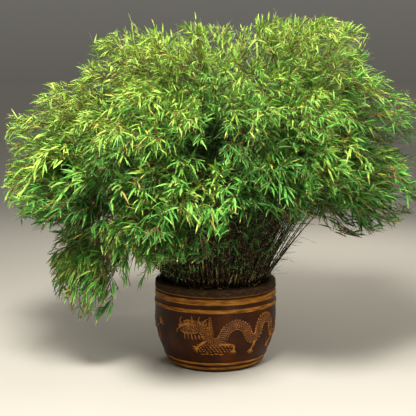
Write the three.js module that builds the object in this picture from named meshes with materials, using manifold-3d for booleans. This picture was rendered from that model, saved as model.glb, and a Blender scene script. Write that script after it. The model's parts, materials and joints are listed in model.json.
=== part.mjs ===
// A clumping bamboo in a glazed egg pot, for a patio. Millimetres, +Z up, the pot's foot at z = 0.
// The pot stands on its flat foot. Culms rise from the soil in a fan, and each carries one mass of leaves.
import * as THREE from "three";
import { mergeVertices } from "three/addons/utils/BufferGeometryUtils.js";
import Module from "manifold-3d";

const wasm = await Module();
wasm.setup();

// Driving dimensions of the pot
const POT_HEIGHT = 488;
const FOOT_RADIUS = 262;
const BELLY_RADIUS = 350;
const BELLY_HEIGHT = 290;
const RIM_RADIUS = 339;
const MOUTH_RADIUS = 306;
const WALL = 26;
const FLOOR = 34;
const BAND_RELIEF = 5;
const BAND_EDGE = 4;
const BANDS = [[14, 34], [45, 63], [351, 377], [397, 432]];
const COLLAR_FOOT = 438;
const COLLAR_RELIEF = 7;
const COLLAR_EDGE = 10;
const LIP_EDGE = 12;
const LIP_OUTER_INSET = 4;
const LIP_INNER_INSET = 6;
const LIP_INNER_DROP = 8;
const BELLY_STATIONS = [105, 160, 225, BELLY_HEIGHT];
const INSIDE_STATIONS = [BELLY_HEIGHT, 130];
const FLOOR_CORNER = 20;
const AROUND = 32;

// The two dragons in relief: the line of the spine as [degrees round the belly, height], head first
const DRAGON_SPINE = [
  [-32, 270], [-25, 280], [-17, 280], [-11.4, 264], [-8.8, 236], [-6.3, 204], [-0.7, 189], [4.9, 204],
  [7, 229], [8.6, 251], [11.8, 273], [19, 291], [26.2, 273], [29.4, 251], [31, 229], [33.2, 209],
  [37.2, 200], [41.2, 209], [43.3, 232], [44, 262], [46.6, 291], [52.4, 305], [58.2, 291], [60.8, 262],
  [61.6, 232], [64.4, 204], [71, 190], [80, 196], [89, 208], [98, 213], [107, 226], [119, 262],
];
const DRAGON_HALF_WIDTH = 28;
const DRAGON_HEAD_WIDTH = 8;
const DRAGON_HEAD_AT = 0.07;
const DRAGON_HEAD_REACH = 0.05;
const DRAGON_TAIL_SHARE = 0.4;
const DRAGON_TAIL_LEAST = 0.18;
const DRAGON_RELIEF = 5;
const DRAGON_STEPS = 52;

// Driving dimensions of what grows in it
const SOIL_HEIGHT = 462;
const GAP = 0.3;
const SOIL_PLAY = 2;
const CROWN_OF_ROOTS_RADIUS = 272;
const CROWN_OF_ROOTS_HEIGHT = 12;
const CROWN_OF_ROOTS_EDGE = 8;
const CULM_FOOT_RADIUS = 7.5;
const CULM_TIP_RADIUS = 5;
const CULM_SIDES = 5;
const CULM_STEPS = 5;
const TWIG_SIDES = 3;
const STEM_RADIUS = 5;
const STEM_STEPS = 4;
const TWIG_RADIUS = 4;
const TWIG_STEPS = 2;
const GOLDEN_ANGLE = 137.5;
const CLEARANCE = 1.5;
const ROOM_STEP = 8;
const SEED = 41.7;

// A stem enters its mass at one depth and ends at another, and passes over the middle by a share of it.
const STEM = { entryDepth: 0.8, endDepth: 0.86, over: 0.16, taper: 0.8 };

// A culm may stand up to swing degrees beside its mass. Its bend and its last knot are shares of its run.
const CULM = { swing: 14, bendAt: 0.36, bendRise: 0.62, lastKnot: 0.22 };

// Twigs stand at places along the stem, opened by degrees, and take a share of the room they have.
const TWIG = {
  places: [0.12, 0.97], opening: [42, 66], depth: 0.95, share: [0.55, 0.75], least: 90, middle: 0.55,
  sag: 0.16, taper: 0.7,
};

// Leaves: lengths in mm, turns and rolls in degrees, hang and sag as shares of the length.
const LEAVES_PER_TWIG = 4;
const LEAF_TRIES = 14;
const LEAF = {
  length: 235, width: 76, thickness: 5, sunk: 1.5, stalk: 0.2, widestAt: 0.34, sag: 0.12, spacing: 28,
  firstPlace: 0.3, lastPlace: 0.97, turn: [24, 75], tipTurn: [0, 15], hang: [-0.6, 0.25], roll: [-45, 45],
  depth: 1.05,
};

// The brush of bare canes: lengths in mm, and leans as shares of a cane's height.
const CANE = {
  count: 40, radius: 5.5, taper: 0.5, sides: 3, steps: 3, edge: 18, height: [430, 640], lean: [0.1, 0.78],
  leanSpread: [0.8, 1.1], bendAt: 0.42, bendRise: 0.14,
};

// The crown's tiers: count masses stand on an arc of an ellipse about centre, each an ellipsoid
// spread wide and depth high, and risen above the centre's height by its own amount. Growth is lifted
// by lift degrees above the level, and foot is how far out the culms stand in the pot.
const TIERS = [
  { name: "top", count: 5, centre: [85, 0, 1595], ring: [530, 380], arc: [20, 380], spread: 370,
    depth: 330, lift: 52, foot: 95, twigs: 6, rise: [75, 35, -15, -15, 60] },
  { name: "shoulder", count: 7, centre: [-20, 0, 1310], ring: [775, 700], arc: [-12, 348], spread: 370,
    depth: 310, lift: 16, foot: 165, twigs: 5, rise: [70, 40, 10, 20, -10, -10, 30] },
  { name: "skirt", count: 8, centre: [-45, 0, 1005], ring: [830, 710], arc: [-12, 348], spread: 370,
    depth: 275, lift: -10, foot: 215, twigs: 5, rise: [30, 60, 10, 20, 40, 30, -25, 165] },
  { name: "weeping", count: 4, centre: [-60, 0, 630], ring: [725, 580], arc: [150, 270], spread: 185,
    depth: 350, lift: -60, foot: 245, twigs: 5, rise: [20, -20, 0, 225] },
];

// Draws a number from 0 to 1 that depends only on its keys, so every part of the plant is repeatable.
function draw(...keys) {
  const mixed = keys.reduce((sum, key, place) => sum + key * (12.9898 + 65.2342 * place), SEED);
  const wave = Math.sin(mixed) * 43758.5453;
  return wave - Math.floor(wave);
}

const between = (low, high, share) => low + (high - low) * share;
const radians = THREE.MathUtils.degToRad;
const UP = new THREE.Vector3(0, 0, 1);

// A closed three.js geometry as a solid that can be joined and cut.
function solidOf(geometry) {
  geometry.deleteAttribute("normal");
  geometry.deleteAttribute("uv");
  const merged = mergeVertices(geometry, 1e-4);
  const triVerts = new Uint32Array(merged.index.array);
  const vertProperties = merged.attributes.position.array;
  return new wasm.Manifold(new wasm.Mesh({ numProp: 3, vertProperties, triVerts }));
}

function geometryOf(solid) {
  const { vertProperties, triVerts } = solid.getMesh();
  const geometry = new THREE.BufferGeometry();
  geometry.setAttribute("position", new THREE.BufferAttribute(vertProperties, 3));
  geometry.setIndex(new THREE.BufferAttribute(triVerts, 1));
  geometry.computeVertexNormals();
  return geometry;
}

function meshOf(name, geometry, material) {
  const mesh = new THREE.Mesh(geometry, material);
  mesh.name = name;
  return mesh;
}

// A profile of [radius, height] pairs turned about the Z axis.
function turned(profile) {
  const geometry = new THREE.LatheGeometry(profile.map(([r, z]) => new THREE.Vector2(r, z)), AROUND);
  return geometry.rotateX(Math.PI / 2);
}

// The pot's bare outer radius at a height: a parabola below the belly and a slow draw-in above it.
function potRadius(z) {
  if (z < BELLY_HEIGHT) {
    return BELLY_RADIUS - (BELLY_RADIUS - FOOT_RADIUS) * ((BELLY_HEIGHT - z) / BELLY_HEIGHT) ** 2;
  }
  const share = (z - BELLY_HEIGHT) / (POT_HEIGHT - BELLY_HEIGHT);
  return BELLY_RADIUS - (BELLY_RADIUS - RIM_RADIUS) * share ** 1.2;
}

// One raised band: up from the wall, along its face and back to the wall.
function bandProfile([low, high]) {
  return [
    [potRadius(low), low],
    [potRadius(low) + BAND_RELIEF, low + BAND_EDGE],
    [potRadius(high) + BAND_RELIEF, high - BAND_EDGE],
    [potRadius(high), high],
  ];
}

function collarProfile() {
  const proud = RIM_RADIUS + COLLAR_RELIEF;
  return [
    [potRadius(COLLAR_FOOT), COLLAR_FOOT],
    [proud, COLLAR_FOOT + COLLAR_EDGE],
    [proud, POT_HEIGHT - LIP_EDGE],
    [RIM_RADIUS - LIP_OUTER_INSET, POT_HEIGHT],
    [MOUTH_RADIUS + LIP_INNER_INSET, POT_HEIGHT],
    [MOUTH_RADIUS, POT_HEIGHT - LIP_INNER_DROP],
  ];
}

// The inside wall, from the mouth down to the floor, kept inset from the wall's face.
function insideProfile(inset) {
  const wall = INSIDE_STATIONS.map((z) => [potRadius(z) - WALL - inset, z]);
  return [...wall, [potRadius(FLOOR) - WALL - FLOOR_CORNER - inset, FLOOR + inset], [0, FLOOR + inset]];
}

// The pot's outside from its foot to its collar, grown outwards by a clearance where a relief lies on it.
function outsideProfile(grown) {
  const belly = BELLY_STATIONS.map((z) => [potRadius(z) + grown, z]);
  const foot = [[0, 0], [FOOT_RADIUS, 0], ...bandProfile(BANDS[0]), ...bandProfile(BANDS[1])];
  return [...foot, ...belly, ...bandProfile(BANDS[2]), ...bandProfile(BANDS[3]), ...collarProfile()];
}

function makePot(material) {
  return meshOf("pot", turned([...outsideProfile(0), ...insideProfile(0)]), material);
}

// Half the width of a dragon's body at a share of its length: a blunt head, an even body, a drawn-out tail.
function dragonHalfWidth(share) {
  const head = DRAGON_HEAD_WIDTH * Math.exp(-(((share - DRAGON_HEAD_AT) / DRAGON_HEAD_REACH) ** 2));
  const tail = Math.min(1, (1 - share) / DRAGON_TAIL_SHARE);
  return head + DRAGON_HALF_WIDTH * Math.max(DRAGON_TAIL_LEAST, tail);
}

// A dragon in low relief: a long box whose length follows the spine on the unrolled belly and whose
// width lies across it, wrapped on the belly and cut back to the pot's faces.
function makeDragon(name, facing, material) {
  const unrolled = DRAGON_SPINE.map(([angle, z]) => new THREE.Vector2(radians(angle) * BELLY_RADIUS, z));
  const spine = new THREE.SplineCurve(unrolled);
  const geometry = new THREE.BoxGeometry(1, 2, 1, DRAGON_STEPS, 2, 1);
  const position = geometry.attributes.position;
  for (let i = 0; i < position.count; i += 1) {
    const share = position.getX(i) + 0.5;
    const point = spine.getPointAt(share);
    const tangent = spine.getTangentAt(share);
    const across = new THREE.Vector2(-tangent.y, tangent.x);
    point.addScaledVector(across, position.getY(i) * dragonHalfWidth(share));
    const angle = point.x / BELLY_RADIUS;
    const radius = potRadius(point.y) + between(-DRAGON_RELIEF, DRAGON_RELIEF, position.getZ(i) + 0.5);
    position.setXYZ(i, radius * Math.sin(angle), -radius * Math.cos(angle), point.y);
  }
  const grownPot = [...outsideProfile(GAP), [0, POT_HEIGHT]];
  const relief = solidOf(geometry).subtract(solidOf(turned(grownPot)));
  return meshOf(name, geometryOf(relief).rotateZ(radians(facing)), material);
}

function makeRootBall(material) {
  const top = [[0, SOIL_HEIGHT], [MOUTH_RADIUS - GAP - SOIL_PLAY, SOIL_HEIGHT]];
  const profile = [...top, ...insideProfile(GAP)].reverse();
  return meshOf("root_ball", turned(profile), material);
}

// A tapered cylinder bent along a curve. A level foot keeps the cut at its foot flat.
function limbGeometry(curve, footRadius, tipRadius, sides, steps, levelFoot) {
  const geometry = new THREE.CylinderGeometry(tipRadius, footRadius, 1, sides, steps);
  const frames = curve.computeFrenetFrames(steps);
  if (levelFoot) {
    frames.normals[0].setZ(0).normalize();
    frames.binormals[0].crossVectors(UP, frames.normals[0]);
  }
  const position = geometry.attributes.position;
  for (let i = 0; i < position.count; i += 1) {
    const ring = Math.round((position.getY(i) + 0.5) * steps);
    const point = curve.getPointAt(ring / steps);
    point.addScaledVector(frames.binormals[ring], position.getX(i));
    point.addScaledVector(frames.normals[ring], position.getZ(i));
    position.setXYZ(i, point.x, point.y, point.z);
  }
  return geometry;
}

// A point on the straight steps that a bent limb is made of, so that what grows there is well sunk in.
function pointOnSteps(curve, steps, share) {
  const step = Math.min(Math.floor(share * steps), steps - 1);
  const from = curve.getPointAt(step / steps);
  return from.lerp(curve.getPointAt((step + 1) / steps), share * steps - step);
}

// The limb as a chain of points and its largest radius, for keeping other growth clear of it.
function chainOf(curve, radius, steps) {
  return { points: curve.getSpacedPoints(steps), radius };
}

// The least distance between two segments, found by clamping the closest points of their lines.
function segmentDistance(a0, a1, b0, b1) {
  const u = new THREE.Vector3().subVectors(a1, a0);
  const v = new THREE.Vector3().subVectors(b1, b0);
  const w = new THREE.Vector3().subVectors(a0, b0);
  const uu = u.dot(u);
  const uv = u.dot(v);
  const vv = v.dot(v);
  const spread = Math.max(uu * vv - uv * uv, 1e-9);
  let s = THREE.MathUtils.clamp((uv * v.dot(w) - vv * u.dot(w)) / spread, 0, 1);
  const t = THREE.MathUtils.clamp((uv * s + v.dot(w)) / vv, 0, 1);
  s = THREE.MathUtils.clamp((uv * t - u.dot(w)) / uu, 0, 1);
  return w.addScaledVector(u, s).addScaledVector(v, -t).length();
}

// Whether a chain of points keeps clear of every limb in a list.
function isClear(points, radius, limbs) {
  return limbs.every((limb) => {
    const reach = radius + limb.radius + CLEARANCE;
    for (let i = 1; i < points.length; i += 1) {
      for (let j = 1; j < limb.points.length; j += 1) {
        if (segmentDistance(points[i - 1], points[i], limb.points[j - 1], limb.points[j]) < reach) {
          return false;
        }
      }
    }
    return true;
  });
}

// The masses' places, worked out tier by tier.
function layOutMasses() {
  return TIERS.flatMap((tier, tierIndex) =>
    Array.from({ length: tier.count }, (_, i) => {
      const angle = radians(between(tier.arc[0], tier.arc[1], i / tier.count));
      const outward = new THREE.Vector3(Math.cos(angle), Math.sin(angle), 0);
      const centre = new THREE.Vector3(...tier.centre);
      centre.x += tier.ring[0] * outward.x;
      centre.y += tier.ring[1] * outward.y;
      centre.z += tier.rise[i];
      const lift = radians(tier.lift);
      const axis = outward.clone().multiplyScalar(Math.cos(lift)).addScaledVector(UP, Math.sin(lift));
      return { name: `${tier.name}_${i + 1}`, tier, key: tierIndex * 10 + i, outward, centre, axis };
    }),
  );
}

// How deep a point lies in a mass's ellipsoid: 0 at its centre, 1 on its skin.
function depthIn(mass, point) {
  const offset = new THREE.Vector3().subVectors(point, mass.centre);
  const { spread, depth } = mass.tier;
  return Math.hypot(offset.x / spread, offset.y / spread, offset.z / depth);
}

// Whether a point is nearer to this mass's centre than to any other's, with room to spare.
function isInCell(mass, masses, point) {
  return masses.every((other) => {
    if (other === mass) return true;
    const across = new THREE.Vector3().subVectors(other.centre, mass.centre);
    const middle = new THREE.Vector3().addVectors(other.centre, mass.centre).multiplyScalar(0.5);
    return middle.sub(point).dot(across) / across.length() > TWIG_RADIUS + CLEARANCE;
  });
}

function isInSpace(mass, masses, point, skin) {
  return depthIn(mass, point) < skin && isInCell(mass, masses, point);
}

// The way from a point along a direction before the mass's space ends, in whole steps.
function roomAlong(mass, masses, start, direction, skin) {
  let length = 0;
  const point = start.clone();
  while (isInSpace(mass, masses, point, skin)) {
    point.addScaledVector(direction, ROOM_STEP);
    length += ROOM_STEP;
  }
  return Math.max(0, length - ROOM_STEP);
}

// The stem of a mass: in at its inner side, over its middle and out to its far side.
function stemCurve(mass, masses) {
  const back = mass.axis.clone().negate();
  const behind = roomAlong(mass, masses, mass.centre, back, STEM.entryDepth);
  const ahead = roomAlong(mass, masses, mass.centre, mass.axis, STEM.endDepth);
  const entry = mass.centre.clone().addScaledVector(back, behind);
  const end = mass.centre.clone().addScaledVector(mass.axis, ahead);
  const over = mass.centre.clone().addScaledVector(UP, mass.tier.depth * STEM.over);
  return new THREE.QuadraticBezierCurve3(entry, over, end);
}

// The culm that carries a mass: from the soil, leaning out, to 0.3 mm short of the mass's stem.
function culmCurve(mass, stem) {
  const level = SOIL_HEIGHT + CROWN_OF_ROOTS_HEIGHT + 2 * GAP;
  const side = radians(between(-CULM.swing, CULM.swing, draw(mass.key, 2)));
  const out = mass.outward.clone().applyAxisAngle(UP, side);
  const foot = out.clone().multiplyScalar(mass.tier.foot).setZ(level);
  const tangent = stem.getTangentAt(0);
  const tip = stem.getPointAt(0).addScaledVector(tangent, -GAP);
  const rise = (tip.z - foot.z) * CULM.bendRise;
  const bend = foot.clone().lerp(tip, CULM.bendAt).setZ(foot.z + rise);
  const last = tip.clone().addScaledVector(tangent, -CULM.lastKnot * foot.distanceTo(tip));
  return new THREE.CubicBezierCurve3(foot, bend, last, tip);
}

// Twigs leave the stem in turn round it, and bend down to their tips.
function twigCurves(mass, masses, stem, limbs) {
  const curves = [];
  const golden = radians(GOLDEN_ANGLE);
  for (let i = 0; i < mass.tier.twigs; i += 1) {
    const place = between(...TWIG.places, i / (mass.tier.twigs - 1));
    const start = pointOnSteps(stem, STEM_STEPS, place);
    const tangent = stem.getTangentAt(place);
    const side = new THREE.Vector3().crossVectors(tangent, UP).normalize();
    side.applyAxisAngle(tangent, golden * i + draw(mass.key, i, 3));
    const opening = radians(between(...TWIG.opening, draw(mass.key, i, 4)));
    const direction = tangent.clone().multiplyScalar(Math.cos(opening));
    direction.addScaledVector(side, Math.sin(opening));
    const room = roomAlong(mass, masses, start, direction, TWIG.depth);
    const length = Math.max(TWIG.least, room * between(...TWIG.share, draw(mass.key, i, 5)));
    const middle = start.clone().addScaledVector(direction, length * TWIG.middle);
    const end = start.clone().addScaledVector(direction, length).addScaledVector(UP, -TWIG.sag * length);
    const curve = new THREE.QuadraticBezierCurve3(start, middle, end);
    const points = curve.getSpacedPoints(TWIG_STEPS);
    const inside = points.every((point) => isInSpace(mass, masses, point, 1));
    if (inside && isClear(points, TWIG_RADIUS, limbs)) curves.push(curve);
  }
  return curves;
}

// The tip of a leaf hangs a little under the straight line from its root.
function leafTip(root, along) {
  return root.clone().addScaledVector(along, LEAF.length).addScaledVector(UP, -LEAF.length * LEAF.sag);
}

// A leaf: an octahedron drawn out to a lance blade, widest near its root.
function leafGeometry(root, along, across) {
  const geometry = new THREE.OctahedronGeometry(1);
  const through = new THREE.Vector3().crossVectors(along, across);
  const position = geometry.attributes.position;
  for (let i = 0; i < position.count; i += 1) {
    const share = position.getX(i) === 0 ? LEAF.widestAt : (position.getX(i) + 1) / 2;
    const point = root.clone().addScaledVector(along, LEAF.length * share);
    point.addScaledVector(across, (position.getY(i) * LEAF.width) / 2);
    point.addScaledVector(through, (position.getZ(i) * LEAF.thickness) / 2);
    if (share === 1) point.copy(leafTip(root, along));
    position.setXYZ(i, point.x, point.y, point.z);
  }
  return geometry;
}

// The way a leaf points: its tangent turned to one side, hanging a little, and rolled about its length.
function leafPose(twig, place, hand, keys) {
  const tangent = twig.getTangentAt(place);
  const side = new THREE.Vector3().crossVectors(tangent, UP).normalize();
  const turn = radians(hand * between(...(place === 1 ? LEAF.tipTurn : LEAF.turn), draw(...keys, 6)));
  const along = tangent.clone().multiplyScalar(Math.cos(turn)).addScaledVector(side, Math.sin(turn));
  along.addScaledVector(UP, between(...LEAF.hang, draw(...keys, 7))).normalize();
  const across = new THREE.Vector3().crossVectors(UP, along).normalize();
  across.applyAxisAngle(along, radians(between(...LEAF.roll, draw(...keys, 8))));
  return { along, across };
}

// Leaves stand alternately on a twig and close it with one at its tip. A leaf that doesn't fit is
// drawn again, and left out after a few tries.
function leafPieces(mass, masses, twig, twigIndex, limbs, leaves) {
  const pieces = [];
  for (let i = 0; i < LEAVES_PER_TWIG; i += 1) {
    const place = between(LEAF.firstPlace, 1, i / (LEAVES_PER_TWIG - 1));
    const node = pointOnSteps(twig, TWIG_STEPS, Math.min(place, LEAF.lastPlace));
    const hand = i % 2 === 0 ? 1 : -1;
    for (let attempt = 0; attempt < LEAF_TRIES; attempt += 1) {
      const { along, across } = leafPose(twig, place, hand, [mass.key, twigIndex, i, attempt]);
      const root = node.clone().addScaledVector(along, -LEAF.sunk);
      const geometry = leafGeometry(root, along, across);
      const tip = leafTip(root, along);
      const corners = geometry.attributes.position;
      const inside = Array.from({ length: corners.count }, (_, c) =>
        isInSpace(mass, masses, new THREE.Vector3().fromBufferAttribute(corners, c), LEAF.depth));
      const blade = [root.clone().lerp(tip, LEAF.stalk), tip];
      const fits = inside.every(Boolean) && isClear([root, tip], LEAF.width / 2, limbs);
      if (fits && isClear(blade, 0, leaves)) {
        leaves.push({ points: blade, radius: LEAF.spacing });
        pieces.push(geometry);
        break;
      }
    }
  }
  return pieces;
}

// One mass of leaves: its stem, twigs and leaves joined into one body.
function makeMass(mass, masses, stem, limbs, material) {
  const tipRadius = TWIG_RADIUS * STEM.taper;
  let solid = solidOf(limbGeometry(stem, STEM_RADIUS, tipRadius, TWIG_SIDES, STEM_STEPS, false));
  const leaves = [];
  twigCurves(mass, masses, stem, limbs).forEach((twig, i) => {
    const limb = limbGeometry(twig, TWIG_RADIUS, TWIG_RADIUS * TWIG.taper, TWIG_SIDES, TWIG_STEPS, false);
    solid = solid.add(solidOf(limb));
    leafPieces(mass, masses, twig, i, limbs, leaves).forEach((leaf) => {
      solid = solid.add(solidOf(leaf));
    });
  });
  return meshOf(`leaves_${mass.name}`, geometryOf(solid), material);
}

// The close brush of bare canes that rises from the crown of roots round the main culms.
function makeCanes(limbs, material) {
  const low = SOIL_HEIGHT + GAP;
  const high = low + CROWN_OF_ROOTS_HEIGHT;
  const upperEdge = CROWN_OF_ROOTS_RADIUS - CROWN_OF_ROOTS_EDGE;
  const disc = [[0, low], [CROWN_OF_ROOTS_RADIUS, low], [upperEdge, high], [0, high]];
  let solid = solidOf(turned(disc));
  const chains = [];
  for (let i = 0; i < CANE.count; i += 1) {
    const share = (i + 0.5) / CANE.count;
    const angle = radians(GOLDEN_ANGLE * i);
    const out = new THREE.Vector3(Math.cos(angle), Math.sin(angle), 0);
    const ring = (CROWN_OF_ROOTS_RADIUS - CANE.edge) * Math.sqrt(share);
    const foot = out.clone().multiplyScalar(ring).setZ(low + CROWN_OF_ROOTS_HEIGHT / 3);
    const height = between(...CANE.height, draw(i, 9));
    const lean = between(...CANE.lean, share) * height * between(...CANE.leanSpread, draw(i, 10));
    const tip = foot.clone().addScaledVector(out, lean).addScaledVector(UP, height);
    const bend = foot.clone().lerp(tip, CANE.bendAt).addScaledVector(UP, height * CANE.bendRise);
    const curve = new THREE.QuadraticBezierCurve3(foot, bend, tip);
    const chain = chainOf(curve, CANE.radius, CANE.steps);
    if (!isClear(chain.points, CANE.radius, limbs)) continue;
    const tipRadius = CANE.radius * CANE.taper;
    solid = solid.add(solidOf(limbGeometry(curve, CANE.radius, tipRadius, CANE.sides, CANE.steps, true)));
    chains.push(chain);
  }
  return { mesh: meshOf("cane_clump", geometryOf(solid), material), chains };
}

const glaze = new THREE.MeshStandardMaterial({ color: "#43290f", roughness: 0.3, metalness: 0 });
const slip = new THREE.MeshStandardMaterial({ color: "#7a4f1c", roughness: 0.35, metalness: 0 });
const soil = new THREE.MeshStandardMaterial({ color: "#2a1e14", roughness: 1, metalness: 0 });
const cane = new THREE.MeshStandardMaterial({ color: "#5a5526", roughness: 0.6, metalness: 0 });
const leaf = new THREE.MeshStandardMaterial({ color: "#5f9a3a", roughness: 0.55, metalness: 0 });

const pottedBamboo = new THREE.Group();
pottedBamboo.add(makePot(glaze), makeRootBall(soil));
pottedBamboo.add(makeDragon("dragon_front", 0, slip), makeDragon("dragon_back", 180, slip));

const masses = layOutMasses();
const stems = masses.map((mass) => stemCurve(mass, masses));
const culms = masses.map((mass, i) => culmCurve(mass, stems[i]));
const culmChains = culms.map((curve) => chainOf(curve, CULM_FOOT_RADIUS, CULM_STEPS));
const stemChains = stems.map((curve) => chainOf(curve, STEM_RADIUS, STEM_STEPS));
const canes = makeCanes([...culmChains, ...stemChains], cane);
pottedBamboo.add(canes.mesh);

const limbs = [...culmChains, ...canes.chains];
masses.forEach((mass, i) => {
  const geometry = limbGeometry(culms[i], CULM_FOOT_RADIUS, CULM_TIP_RADIUS, CULM_SIDES, CULM_STEPS, true);
  pottedBamboo.add(meshOf(`culm_${mass.name}`, geometry, cane));
  pottedBamboo.add(makeMass(mass, masses, stems[i], limbs, leaf));
});

export default pottedBamboo;
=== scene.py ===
# %% [markdown]
# # A potted bamboo
# This lesson dresses a measured model of a clumping bamboo in a glazed pot. The measured model is the
# frame: it says where the pot, the culms and each mass of leaves are. Every shape here is a surface that
# numpy works out as whole arrays, so the same few ideas make a pot, a dragon and tens of thousands of
# leaves.
# The frame comes in first, and its box is kept, because nothing may grow out of it.

# %% The frame
import json
import math

import bpy
import numpy as np
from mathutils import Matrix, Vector

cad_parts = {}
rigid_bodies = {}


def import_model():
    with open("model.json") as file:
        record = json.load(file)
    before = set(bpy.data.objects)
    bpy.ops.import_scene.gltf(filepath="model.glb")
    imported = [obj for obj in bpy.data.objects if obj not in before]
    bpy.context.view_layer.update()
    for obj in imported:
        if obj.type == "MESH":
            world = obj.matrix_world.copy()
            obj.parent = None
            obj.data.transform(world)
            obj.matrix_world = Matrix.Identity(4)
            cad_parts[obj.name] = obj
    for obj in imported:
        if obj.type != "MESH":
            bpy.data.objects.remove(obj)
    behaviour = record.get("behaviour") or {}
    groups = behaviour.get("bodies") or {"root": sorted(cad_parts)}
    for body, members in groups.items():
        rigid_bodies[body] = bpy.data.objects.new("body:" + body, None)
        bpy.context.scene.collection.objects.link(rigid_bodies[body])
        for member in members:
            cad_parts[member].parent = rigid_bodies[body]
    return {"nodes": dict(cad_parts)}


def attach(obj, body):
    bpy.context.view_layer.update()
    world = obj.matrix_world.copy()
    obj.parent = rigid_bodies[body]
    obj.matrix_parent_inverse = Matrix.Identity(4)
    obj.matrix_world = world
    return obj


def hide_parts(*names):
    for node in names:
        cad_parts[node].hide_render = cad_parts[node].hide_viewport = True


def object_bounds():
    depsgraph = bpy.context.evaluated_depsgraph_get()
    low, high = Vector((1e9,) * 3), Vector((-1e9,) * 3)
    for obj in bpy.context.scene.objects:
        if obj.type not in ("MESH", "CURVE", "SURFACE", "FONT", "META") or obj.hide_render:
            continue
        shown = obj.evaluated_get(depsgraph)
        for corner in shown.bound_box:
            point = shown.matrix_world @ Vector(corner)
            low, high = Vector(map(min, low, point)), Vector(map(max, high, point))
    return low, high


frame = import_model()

MM = 0.001
cad_box = [list(corner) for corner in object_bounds()]
print("frame:", len(frame["nodes"]), "nodes, box", np.round(cad_box, 3).tolist())

# %% [markdown]
# ## The camera
# A photograph's angle can be matched by eye or worked out. Here it was worked out from the ellipse of the
# pot's rim: a long lens at about eye height, looking slightly down.

# %% Camera
LENS = 82.3
CAMERA_PLACE = (-0.043, -5.4, 1.62)
LOOKS_DOWN = 7.7
camera_data = bpy.data.cameras.new("camera")
camera_data.sensor_width = 36
camera_data.lens = LENS
camera = bpy.data.objects.new("camera", camera_data)
camera.location = CAMERA_PLACE
camera.rotation_euler = (math.radians(90 - LOOKS_DOWN), 0, 0)
bpy.context.scene.collection.objects.link(camera)
bpy.context.scene.camera = camera
print("camera:", LENS, "mm lens at", CAMERA_PLACE, "looking", LOOKS_DOWN, "degrees down")

# %% [markdown]
# ## Sums on whole arrays
# Four small functions come back all through the lesson. The soft step eases one thing into another, as a
# thumb does in clay, and the rest save writing the same sum out again.

# %% Array helpers
def soft_step(t):
    """0 below 0, 1 above 1, and between them three t squared less two t cubed."""
    t = np.clip(t, 0, 1)
    return t * t * (3 - 2 * t)


def between(low, high, share):
    """From low to high as share goes from 0 to 1."""
    return low + (high - low) * share


def unit(vectors):
    """Each vector divided by its own length."""
    return vectors / np.maximum(np.linalg.norm(vectors, axis=-1, keepdims=True), 1e-12)


def grid_faces(rows, columns):
    """Four-sided faces between the neighbours of a grid of points, whose last column joins its first."""
    row, column = np.meshgrid(np.arange(rows - 1), np.arange(columns), indexing="ij")
    beside = (column + 1) % columns
    corners = [row * columns + column, row * columns + beside,
               (row + 1) * columns + beside, (row + 1) * columns + column]
    return np.stack(corners, axis=-1).reshape(-1, 4)


# %% [markdown]
# ## From arrays to a mesh
# Blender can be given a mesh one vertex at a time, or as whole arrays. Whole arrays are thousands of
# times faster, which is what makes leaves possible. A face array has one row of corner numbers for each
# face, and a piece may mix arrays of triangles and of four-sided faces.

# %% Piece maker
def add_piece(name, points, faces, uv, material, slot, replaced=(), tone=None):
    """Makes a piece of whole arrays: points in metres, face arrays, and a UV or a tone for each point."""
    corners = np.concatenate([f.ravel() for f in faces]).astype(np.int32)
    sizes = np.concatenate([np.full(len(f), f.shape[1]) for f in faces])
    starts = np.concatenate([[0], np.cumsum(sizes)[:-1]]).astype(np.int32)
    mesh = bpy.data.meshes.new(name)
    mesh.vertices.add(len(points))
    mesh.vertices.foreach_set("co", np.ascontiguousarray(points, np.float32).ravel())
    mesh.loops.add(len(corners))
    mesh.loops.foreach_set("vertex_index", corners)
    mesh.polygons.add(len(starts))
    mesh.polygons.foreach_set("loop_start", starts)
    mesh.update(calc_edges=True)
    if uv is not None:
        layer = mesh.uv_layers.new(name="UVMap")
        layer.data.foreach_set("uv", uv[corners].astype(np.float32).ravel())
    if tone is not None:
        attribute = mesh.attributes.new("tone", "FLOAT", "POINT")
        attribute.data.foreach_set("value", np.asarray(tone, np.float32).ravel())
    mesh.shade_smooth()
    mesh.materials.append(material)
    piece = bpy.data.objects.new(name, mesh)
    bpy.context.scene.collection.objects.link(piece)
    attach(piece, "root")
    if replaced:
        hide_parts(*replaced)
    print(f"{name}: {int((sizes - 2).sum())} triangles")


# %% [markdown]
# ## Colours and shader nodes
# Colours are read off as sRGB hex values, as a painter would pick them, and one function turns them to
# the linear values that light is added up in. A pattern's scale follows from the real size of its grains.
# One more function adds a shader node, whatever its kind.

# %% Shader helpers
def linear(colour):
    """An sRGB hex colour as linear red, green and blue, with an alpha of 1."""
    channels = np.array([int(colour[i:i + 2], 16) for i in (1, 3, 5)]) / 255
    light = np.where(channels <= 0.04045, channels / 12.92, ((channels + 0.055) / 1.055) ** 2.4)
    return (*light.tolist(), 1.0)


def per_metre(size):
    """The Scale of a pattern whose grains are size mm across: how many of them lie in a metre."""
    return 1000 / size


def add_node(tree, kind, inputs=None, stops=None, **settings):
    """Adds a node with its settings. An input that is given a socket is linked, and any other is set."""
    node = tree.nodes.new(kind)
    for name, value in settings.items():
        setattr(node, name, value)
    for name, value in (inputs or {}).items():
        if isinstance(value, bpy.types.NodeSocket):
            tree.links.new(value, node.inputs[name])
        else:
            node.inputs[name].default_value = value
    for place, (position, colour) in enumerate(stops or []):
        elements = node.color_ramp.elements
        stop = elements[place] if place < 2 else elements.new(position)
        stop.position = position
        stop.color = linear(colour)
    return node


def new_material(name):
    """An empty material: its node tree and its Principled shader, joined to the output."""
    material = bpy.data.materials.new(name)
    material.use_nodes = True
    tree = material.node_tree
    return material, tree, tree.nodes["Principled BSDF"]


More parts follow.
